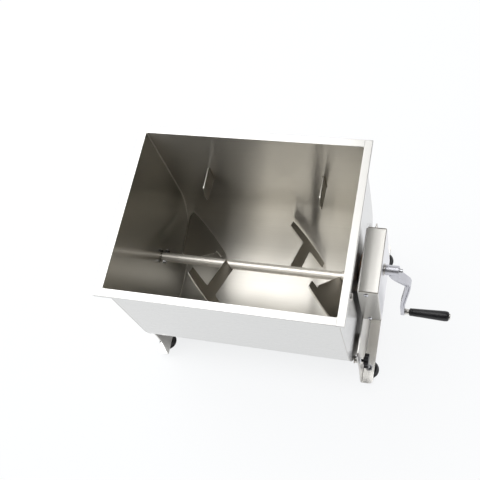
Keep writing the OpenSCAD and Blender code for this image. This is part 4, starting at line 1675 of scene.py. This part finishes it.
    def cover_ring(self, x: float, inset: float, radius: float) -> List[Point3]:
        """Draws a rounded rectangle of the cover.

        Args:
            x: where it stands.
            inset: how far it lies inside the cover's outline.
            radius: radius of its corners.

        Returns:
            Its points.
        """
        a = self.cover_half - inset - radius
        b = (self.cover_high - self.cover_low) / 2 - inset - radius
        centre = (self.cover_low + self.cover_high) / 2
        made = []
        for sy, sz, turn in ((1, 1, 0), (-1, 1, 90), (-1, -1, 180), (1, -1, 270)):
            for t in [math.radians(turn + 90 * k / self.corner_steps) for k in range(self.corner_steps + 1)]:
                made.append((x, sy * a + radius * math.cos(t), centre + sz * b + radius * math.sin(t)))
        return made

    def cover(self) -> None:
        """Builds the folded gear cover, open towards the plate, with its seams."""
        fold = self.cover_fold
        rings = [self.cover_ring(*ring) for ring in self.cover_rings]
        first, last = self.cover_round
        for share in [k / self.corner_steps for k in range(self.corner_steps + 1)]:
            t = share * math.pi / 2
            radius = max(first + (last - first) * share, self.cover_round_least)
            rings.append(self.cover_ring(self.cover_far - fold + fold * math.sin(t),
                                         fold - fold * math.cos(t), radius))
        made = finished("gear_cover_folded", place(loft(rings)), Kit.COVER, Body.BASE, ["gearbox_cover"],
                        "stand_sheet", self.cover_smooth)
        # painted light: the cover's outer face takes the lighter face colour
        paint(made, Kit.COVER_FACE, lambda spot, normal: normal.x > FACING)
        inset = self.cover_seam_in
        seams = [tube([(x, sy * (self.cover_half - inset), z) for x in self.cover_seam_x], self.cover_seam_r)
                 for sy in (-1, 1) for z in (self.cover_low + inset, self.cover_high - inset)]
        finished("gear_cover_seams", place(joined(seams)), Kit.WELD, Body.BASE, slot="stand_sheet",
                 smooth=BEAD_SMOOTH)

    def screws(self) -> None:
        """Builds the pan-head screws that hold the cover, their cross slot drawn as dark plates, a painted
        shade.
        """
        head = lathe(self.screw, closed=False, steps=32, edge=0.4)
        a, b = self.slot_half
        # painted shade: the cross slot is a pair of dark plates set into each head
        slot = plate([[(-a, -b), (a, -b), (a, b), (-a, b)]], thick=1.0, edge=0.1, steps=0)
        slot.transform(at(0, 0, self.slot_z))
        crossed = slot.copy()
        crossed.transform(about("Z", 90))
        spots = [(self.screw_x, sy * self.cover_half, z) for sy in (-1, 1) for z in self.screw_z]
        turns = [(math.radians(-90 if y > 0 else 90), 0.0, 0.0) for _, y, _ in spots]
        heads = Repeats.spread(head, spots, turns, Kit.ZINC)
        finished("cover_screws_zinc", place(heads), Kit.ZINC, Body.BASE, ["cover_screws"], "bolt_steel")
        slots = Repeats.spread(joined([slot, crossed]), spots, turns, Kit.DARK)
        finished("cover_screw_slots", place(slots), Kit.DARK, Body.BASE, slot="bolt_steel")

    def feet(self) -> None:
        """Builds the rubber feet with their domed bolts."""
        out = self.thick + self.foot_in
        spots = [(x, y, 0.0) for x in (-self.face[0] - out, self.face[1] + out)
                 for y in (-self.foot_y, self.foot_y)]
        rise = (90 - self.dome_from) / self.dome_steps
        angles = [math.radians(self.dome_from + rise * k) for k in range(self.dome_steps + 1)]
        dome = [(self.dome_z + self.dome_r * math.sin(t), self.dome_r * math.cos(t)) for t in angles]
        for name, shape, steps, edge, finish, stands_for, slot in (
                ("feet_rubber", list(self.foot), 64, 0.5, Kit.RUBBER, "feet", "foot_rubber"),
                ("foot_bolts_zinc", list(self.bolt_shank) + dome, 40, 0.25, Kit.ZINC, "foot_bolts",
                 "bolt_steel")):
            item = lathe(shape, False, steps, edge)
            copies = Repeats.spread(item, spots, [(0.0, 0.0, 0.0)] * len(spots), finish)
            finished(name, place(copies), finish, Body.BASE, [stands_for], slot)

    def lock_nut(self) -> None:
        """Builds the welded nut that carries the lock screw."""
        nut = plate([circle(self.nut_r, steps=6), circle(self.lock_hole, steps=24)], self.nut_high, edge=0.4,
                    steps=1)
        place(nut, at(self.nut_x, *self.lock_spot) @ TO_X)
        finished("lock_nut_zinc", nut, Kit.ZINC, Body.BASE, ["lock_nut"], "bolt_steel")

    def build(self) -> None:
        """Builds and dresses the stand."""
        self.sides()
        self.ties()
        self.bushes()
        self.cover()
        self.screws()
        self.feet()
        self.lock_nut()


@dataclass
class Crank:
    """Cast bent crank with its shaft, grip pin and grip; lengths along X start at the hub's foot."""

    axis: float = CRANK_Z
    rest: float = 10.5
    length: float = 150.0
    hub: float = 264.0
    # middle line of the arm: (X, down, thickness, width, depth of the pockets)
    stations: Tuple[Tuple[float, float, float, float, float], ...] = (
        (12.0, 5.0, 15.0, 17.0, 0.02), (16.0, 11.0, 16.4, 17.8, 0.02), (21.5, 17.5, 16.0, 17.6, 0.5),
        (27.5, 23.5, 14.8, 17.2, 0.8), (34.0, 29.6, 13.2, 16.9, 0.8), (39.0, 35.0, 11.6, 16.8, 1.2),
        (41.6, 41.0, 10.4, 16.7, 3.4), (41.2, 49.0, 10.0, 16.6, 4.8), (36.6, 80.0, 9.6, 16.4, 4.4),
        (31.6, 111.0, 9.0, 16.2, 3.6), (30.8, 121.0, 8.6, 16.2, 1.6), (31.0, 131.0, 7.6, 16.4, 0.02),
        (31.4, 147.0, 7.2, 16.6, 0.02))
    web: float = 2.4
    web_slope: float = 0.5
    arm_round: float = 0.8
    arm_angle: float = 28.0
    hub_section: Profile = ((-2.0, 7.0), (-2.0, 10.0), (24.0, 10.0), (24.0, 7.0))
    eye_section: Profile = ((27.6, 4.0), (27.6, 8.4), (35.0, 8.5), (35.0, 4.0))
    cast_round: float = 1.2
    cast_smooth: float = 45.0
    shaft_section: Profile = ((-46.0, 0.0), (-46.0, 7.0), (24.0, 7.0), (24.0, 0.0))
    bolt_section: Profile = ((24.0, 0.0), (24.0, 6.5), (25.5, 6.5), (25.5, 5.0), (30.5, 5.0), (30.5, 2.9),
                             (28.0, 2.6), (28.0, 0.0))
    pin_section: Profile = ((27.5, 0.0), (27.5, 4.0), (35.2, 4.0), (35.2, 6.5), (37.6, 6.5), (38.2, 5.6),
                            (44.2, 5.6), (44.2, 4.0), (122.8, 4.0), (122.8, 6.5), (124.3, 6.5), (125.3, 4.8),
                            (125.3, 0.0))
    grip_start: float = 44.5
    grip_section: Profile = ((0.0, 4.05), (0.0, 6.8), (1.4, 7.7), (5.0, 8.0), (5.6, 7.7), (6.4, 7.7),
                             (7.0, 8.0), (27.0, 8.7), (44.0, 9.5), (60.0, 10.2), (70.0, 10.5), (75.0, 10.0),
                             (77.4, 8.6), (78.0, 7.4), (78.0, 4.05))

    def hanging(self, x: float = 0.0, down: float = 0.0) -> Matrix:
        """Gives the crank's place at rest, x out from the hub's foot and so far down the arm."""
        return at(0, 0, self.axis) @ about("X", -self.rest) @ at(self.hub + x, 0, -down)

    def arm(self) -> None:
        """Builds the bent arm of H section between hub and eye."""
        rings = []
        for i, (x, down, thick, wide, pocket) in enumerate(self.stations):
            a, b = self.stations[max(i - 1, 0)], self.stations[min(i + 1, len(self.stations) - 1)]
            along = Vector((b[0] - a[0], b[1] - a[1])).normalized()
            t, w, deep = thick / 2, wide / 2, wide / 2 - pocket
            lip, slope = t - self.web, t - self.web - self.web_slope
            half = [(t, -w), (t, w), (lip, w), (slope, deep), (-slope, deep), (-lip, w)]
            line = half + [(-n, -y) for n, y in half]
            rings.append([(x + along.y * n, y, along.x * n - down) for n, y in line])
        arm = bevelled(loft(rings), self.arm_round, 3, self.arm_angle)
        hub = lathe(self.hub_section, closed=True, steps=64, edge=self.cast_round)
        hub.transform(TO_X)
        eye = lathe(self.eye_section, closed=True, steps=48, edge=self.cast_round)
        eye.transform(at(0, 0, -self.length) @ TO_X)
        mesh = place(joined([arm, hub, eye]), self.hanging())
        finished("crank_arm_cast", mesh, Kit.CAST, Body.CRANK, ["crank_arm"], "cast_crank", self.cast_smooth)

    def shaft(self) -> None:
        """Builds the crank shaft, the hub bolt and the grip pin."""
        line = at(self.hub, 0, self.axis) @ TO_X
        Turned("crank_shaft_turned", "crank_shaft", Kit.POLISHED, "turned_steel", self.shaft_section,
               bored=False, edge=0.6).build(Body.CRANK, line)
        Turned("hub_bolt_zinc", "hub_bolt", Kit.ZINC, "bolt_steel", self.bolt_section, bored=False,
               edge=0.4).build(Body.CRANK, line)
        Turned("grip_pin_turned", "grip_pin", Kit.POLISHED, "turned_steel", self.pin_section,
               bored=False).build(Body.CRANK, self.hanging(0.0, self.length) @ TO_X)

    def grip(self) -> None:
        """Builds the tapered plastic grip that turns on its pin."""
        Turned("grip_moulded", "grip", Kit.PLASTIC, "black_plastic", self.grip_section, bored=True,
               steps=72, smooth=PLATE_SMOOTH).build(
            Body.GRIP, self.hanging(self.grip_start, self.length) @ TO_X)

    def gears(self) -> None:
        """Dresses the two gears, which keep the CAD's own teeth."""
        for label in ("pinion", "gear_wheel"):
            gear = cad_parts[label]
            gear.data.materials.clear()
            gear.data.materials.append(Kit.GEAR.build())

    def build(self) -> None:
        """Builds and dresses the crank, its grip and the gears."""
        self.arm()
        self.shaft()
        self.grip()
        self.gears()


@dataclass
class Lock:
    """Threaded lock screw with its star knob."""

    spot: Point = LOCK_AT
    # thread, drawn as rings 1 mm apart
    start: float = 218.8
    end: float = 236.4
    thread_r: float = 3.0
    root_r: float = 2.45
    point_r: float = 2.3
    point_long: float = 0.9
    first_turn: float = 1.3
    last_turn: float = 0.7
    pitch: float = 1.0
    # knob: six lobes, its neck and the button in its face
    lobes: int = 6
    lobe_steps: int = 144
    lobe_turn: float = 15.0
    waist_r: float = 10.7
    lobe_out: float = 4.3
    lobe_shape: float = 0.8
    head_high: float = 9.0
    head_round: float = 1.4
    head_x: float = 236.5
    neck: Profile = ((230.4, 3.0), (230.4, 7.3), (232.6, 8.4), (232.6, 3.0))
    button: Profile = ((240.6, 0.0), (240.6, 5.4), (240.98, 4.6), (240.98, 0.0))

    def screw(self) -> None:
        """Builds the threaded screw."""
        shape: List[Point] = [(self.start, 0.0), (self.start, self.point_r),
                              (self.start + self.point_long, self.thread_r)]
        x = self.start + self.first_turn
        while x < self.end - self.last_turn:
            shape += [(x, self.thread_r), (x + self.pitch / 2, self.root_r)]
            x += self.pitch
        shape += [(self.end, self.thread_r), (self.end, 0.0)]
        Turned("lock_screw_threaded", "lock_screw", Kit.DARK, "turned_steel", tuple(shape), bored=False,
               steps=40, edge=0.12, smooth=BENT_SMOOTH).build(Body.LOCK, at(0, *self.spot) @ TO_X)

    def knob(self) -> None:
        """Builds the star knob."""
        outline = []
        for k in range(self.lobe_steps):
            t = 2 * math.pi * k / self.lobe_steps
            wave = 0.5 + 0.5 * math.cos(self.lobes * (t - math.radians(self.lobe_turn)))
            r = self.waist_r + self.lobe_out * wave ** self.lobe_shape
            outline.append((r * math.cos(t), r * math.sin(t)))
        head = plate([outline], self.head_high, self.head_round, steps=3)
        head.transform(at(self.head_x, *self.spot) @ TO_X)
        neck = lathe(self.neck, closed=True, steps=48, edge=0.5)
        button = lathe(self.button, closed=False, steps=40, edge=0.2)
        for mesh in (neck, button):
            mesh.transform(at(0, *self.spot) @ TO_X)
        finished("star_knob_moulded", place(joined([head, neck, button])), Kit.PLASTIC, Body.LOCK,
                 ["star_knob"], "black_plastic", PLATE_SMOOTH)

    def build(self) -> None:
        """Builds and dresses the lock."""
        self.screw()
        self.knob()


@dataclass
class Studio:
    """Camera, floor and lights of the photograph; lamps are placed in metres."""

    eye: Point3 = (379.7, -548.4, 1635.5)
    target: Point3 = (20.6, -42.8, 440.0)
    roll: float = -26.41
    lens: float = 57.514
    sensor: float = 36.0
    clip: Point = (0.05, 30.0)
    floor_half: float = 20.0
    # world: direction of the bright side, and its level at two values of the cosine from that side
    bright_side: Point3 = (-0.9, 0.2, 0.4)
    dim: Point = (0.2, 0.04)
    lit: Point = (0.7, 1.25)
    # pale walls: upward cosine where they start to fade, where they end, and their level
    wall: Point3 = (0.15, 0.5, 0.9)
    box_at: Point3 = (-1.42, 0.9, 2.4)
    box_size: Point = (2.5, 2.8)
    box_watts: float = 56.0
    strip_at: Point3 = (0.5, 0.38, 2.4)
    strip_size: Point = (1.1, 0.8)
    strip_watts: float = 6.0

    def camera(self) -> None:
        """Puts the camera where the photograph was taken."""
        data = bpy.data.cameras.new("camera")
        data.lens = self.lens
        data.sensor_width = self.sensor
        data.clip_start, data.clip_end = self.clip
        cam = bpy.data.objects.new("camera", data)
        bpy.context.scene.collection.objects.link(cam)
        eye, target = Vector(self.eye), Vector(self.target)
        back = (eye - target).normalized()
        side = Vector((0, 0, 1)).cross(back).normalized()
        up = back.cross(side)
        angle = math.radians(self.roll)
        x = side * math.cos(angle) + up * math.sin(angle)
        y = -side * math.sin(angle) + up * math.cos(angle)
        turn = Matrix((x, y, back)).transposed().to_4x4()
        cam.matrix_world = Matrix.Translation((eye + Vector((SHIFT, 0, 0))) * MM) @ turn
        bpy.context.scene.camera = cam

    def floor(self) -> None:
        """Lays the white studio floor."""
        half = self.floor_half
        mesh = bpy.data.meshes.new("floor")
        mesh.from_pydata([(-half, -half, 0), (half, -half, 0), (half, half, 0), (-half, half, 0)], [],
                         [(0, 1, 2, 3)])
        mesh.materials.append(Kit.FLOOR.build())
        obj = bpy.data.objects.new("floor", mesh)
        bpy.context.scene.collection.objects.link(obj)

    def light(self, name: str, spot: Point3, size: Point, watts: float) -> None:
        """Hangs one white soft box that looks straight down.

        Args:
            name: its name.
            spot: where it hangs, in metres.
            size: its sides, in metres.
            watts: its power.
        """
        data = bpy.data.lights.new(name, "AREA")
        data.shape = "RECTANGLE"
        data.size, data.size_y = size
        data.energy = watts
        data.color = linear("ffffff")[:3]
        obj = bpy.data.objects.new(name, data)
        obj.location = spot
        down = Vector((0.0, 0.0, -spot[2]))
        obj.rotation_euler = down.to_track_quat("-Z", "Y").to_euler()
        bpy.context.scene.collection.objects.link(obj)

    def world(self) -> None:
        """Sets the surroundings: bright at the back left, dim behind the camera, a white backdrop."""
        made = bpy.data.worlds.new("studio")
        made.use_nodes = True
        tree = made.node_tree
        tree.nodes.clear()
        where = node(tree, "ShaderNodeTexCoord").outputs["Generated"]
        bright = tuple(Vector(self.bright_side).normalized())
        side = node(tree, "ShaderNodeVectorMath", {0: where}, {1: bright}, operation="DOT_PRODUCT")
        height = node(tree, "ShaderNodeSeparateXYZ", {0: where})
        glow, wall = (node(tree, "ShaderNodeMapRange", {"Value": value},
                           {"From Min": low, "From Max": high, "To Min": first, "To Max": last},
                           interpolation_type="SMOOTHSTEP")
                      for value, low, high, first, last in (
                          (side.outputs["Value"], self.dim[0], self.lit[0], self.dim[1], self.lit[1]),
                          (height.outputs["Z"], self.wall[0], self.wall[1], 1.0, 0.0)))
        level = node(tree, "ShaderNodeMix", {0: wall.outputs[0], 2: glow.outputs[0]}, {3: self.wall[2]},
                     data_type="FLOAT")
        ray = node(tree, "ShaderNodeLightPath")
        seen = node(tree, "ShaderNodeMix", {0: ray.outputs["Is Camera Ray"], 2: level.outputs[0]}, {3: 1.0},
                    data_type="FLOAT")
        shine = node(tree, "ShaderNodeBackground", {"Strength": seen.outputs[0]},
                     {"Color": linear("ffffff")})
        node(tree, "ShaderNodeOutputWorld", {"Surface": shine.outputs[0]})
        bpy.context.scene.world = made

    def build(self) -> None:
        """Sets the whole studio up."""
        self.camera()
        self.floor()
        self.light("overhead", self.box_at, self.box_size, self.box_watts)
        self.light("strip", self.strip_at, self.strip_size, self.strip_watts)
        self.world()
        view = bpy.context.scene.view_settings
        view.view_transform = "Standard"


def main() -> None:
    """Builds the machine, then the studio."""
    logging.basicConfig(level=logging.INFO, format="%(name)s %(message)s")
    for part in (Tank(), MixingShaft(), Stand(), Crank(), Lock(), Studio()):
        LOG.info("building %s", type(part).__name__)
        part.build()


if __name__ == "__main__":
    main()
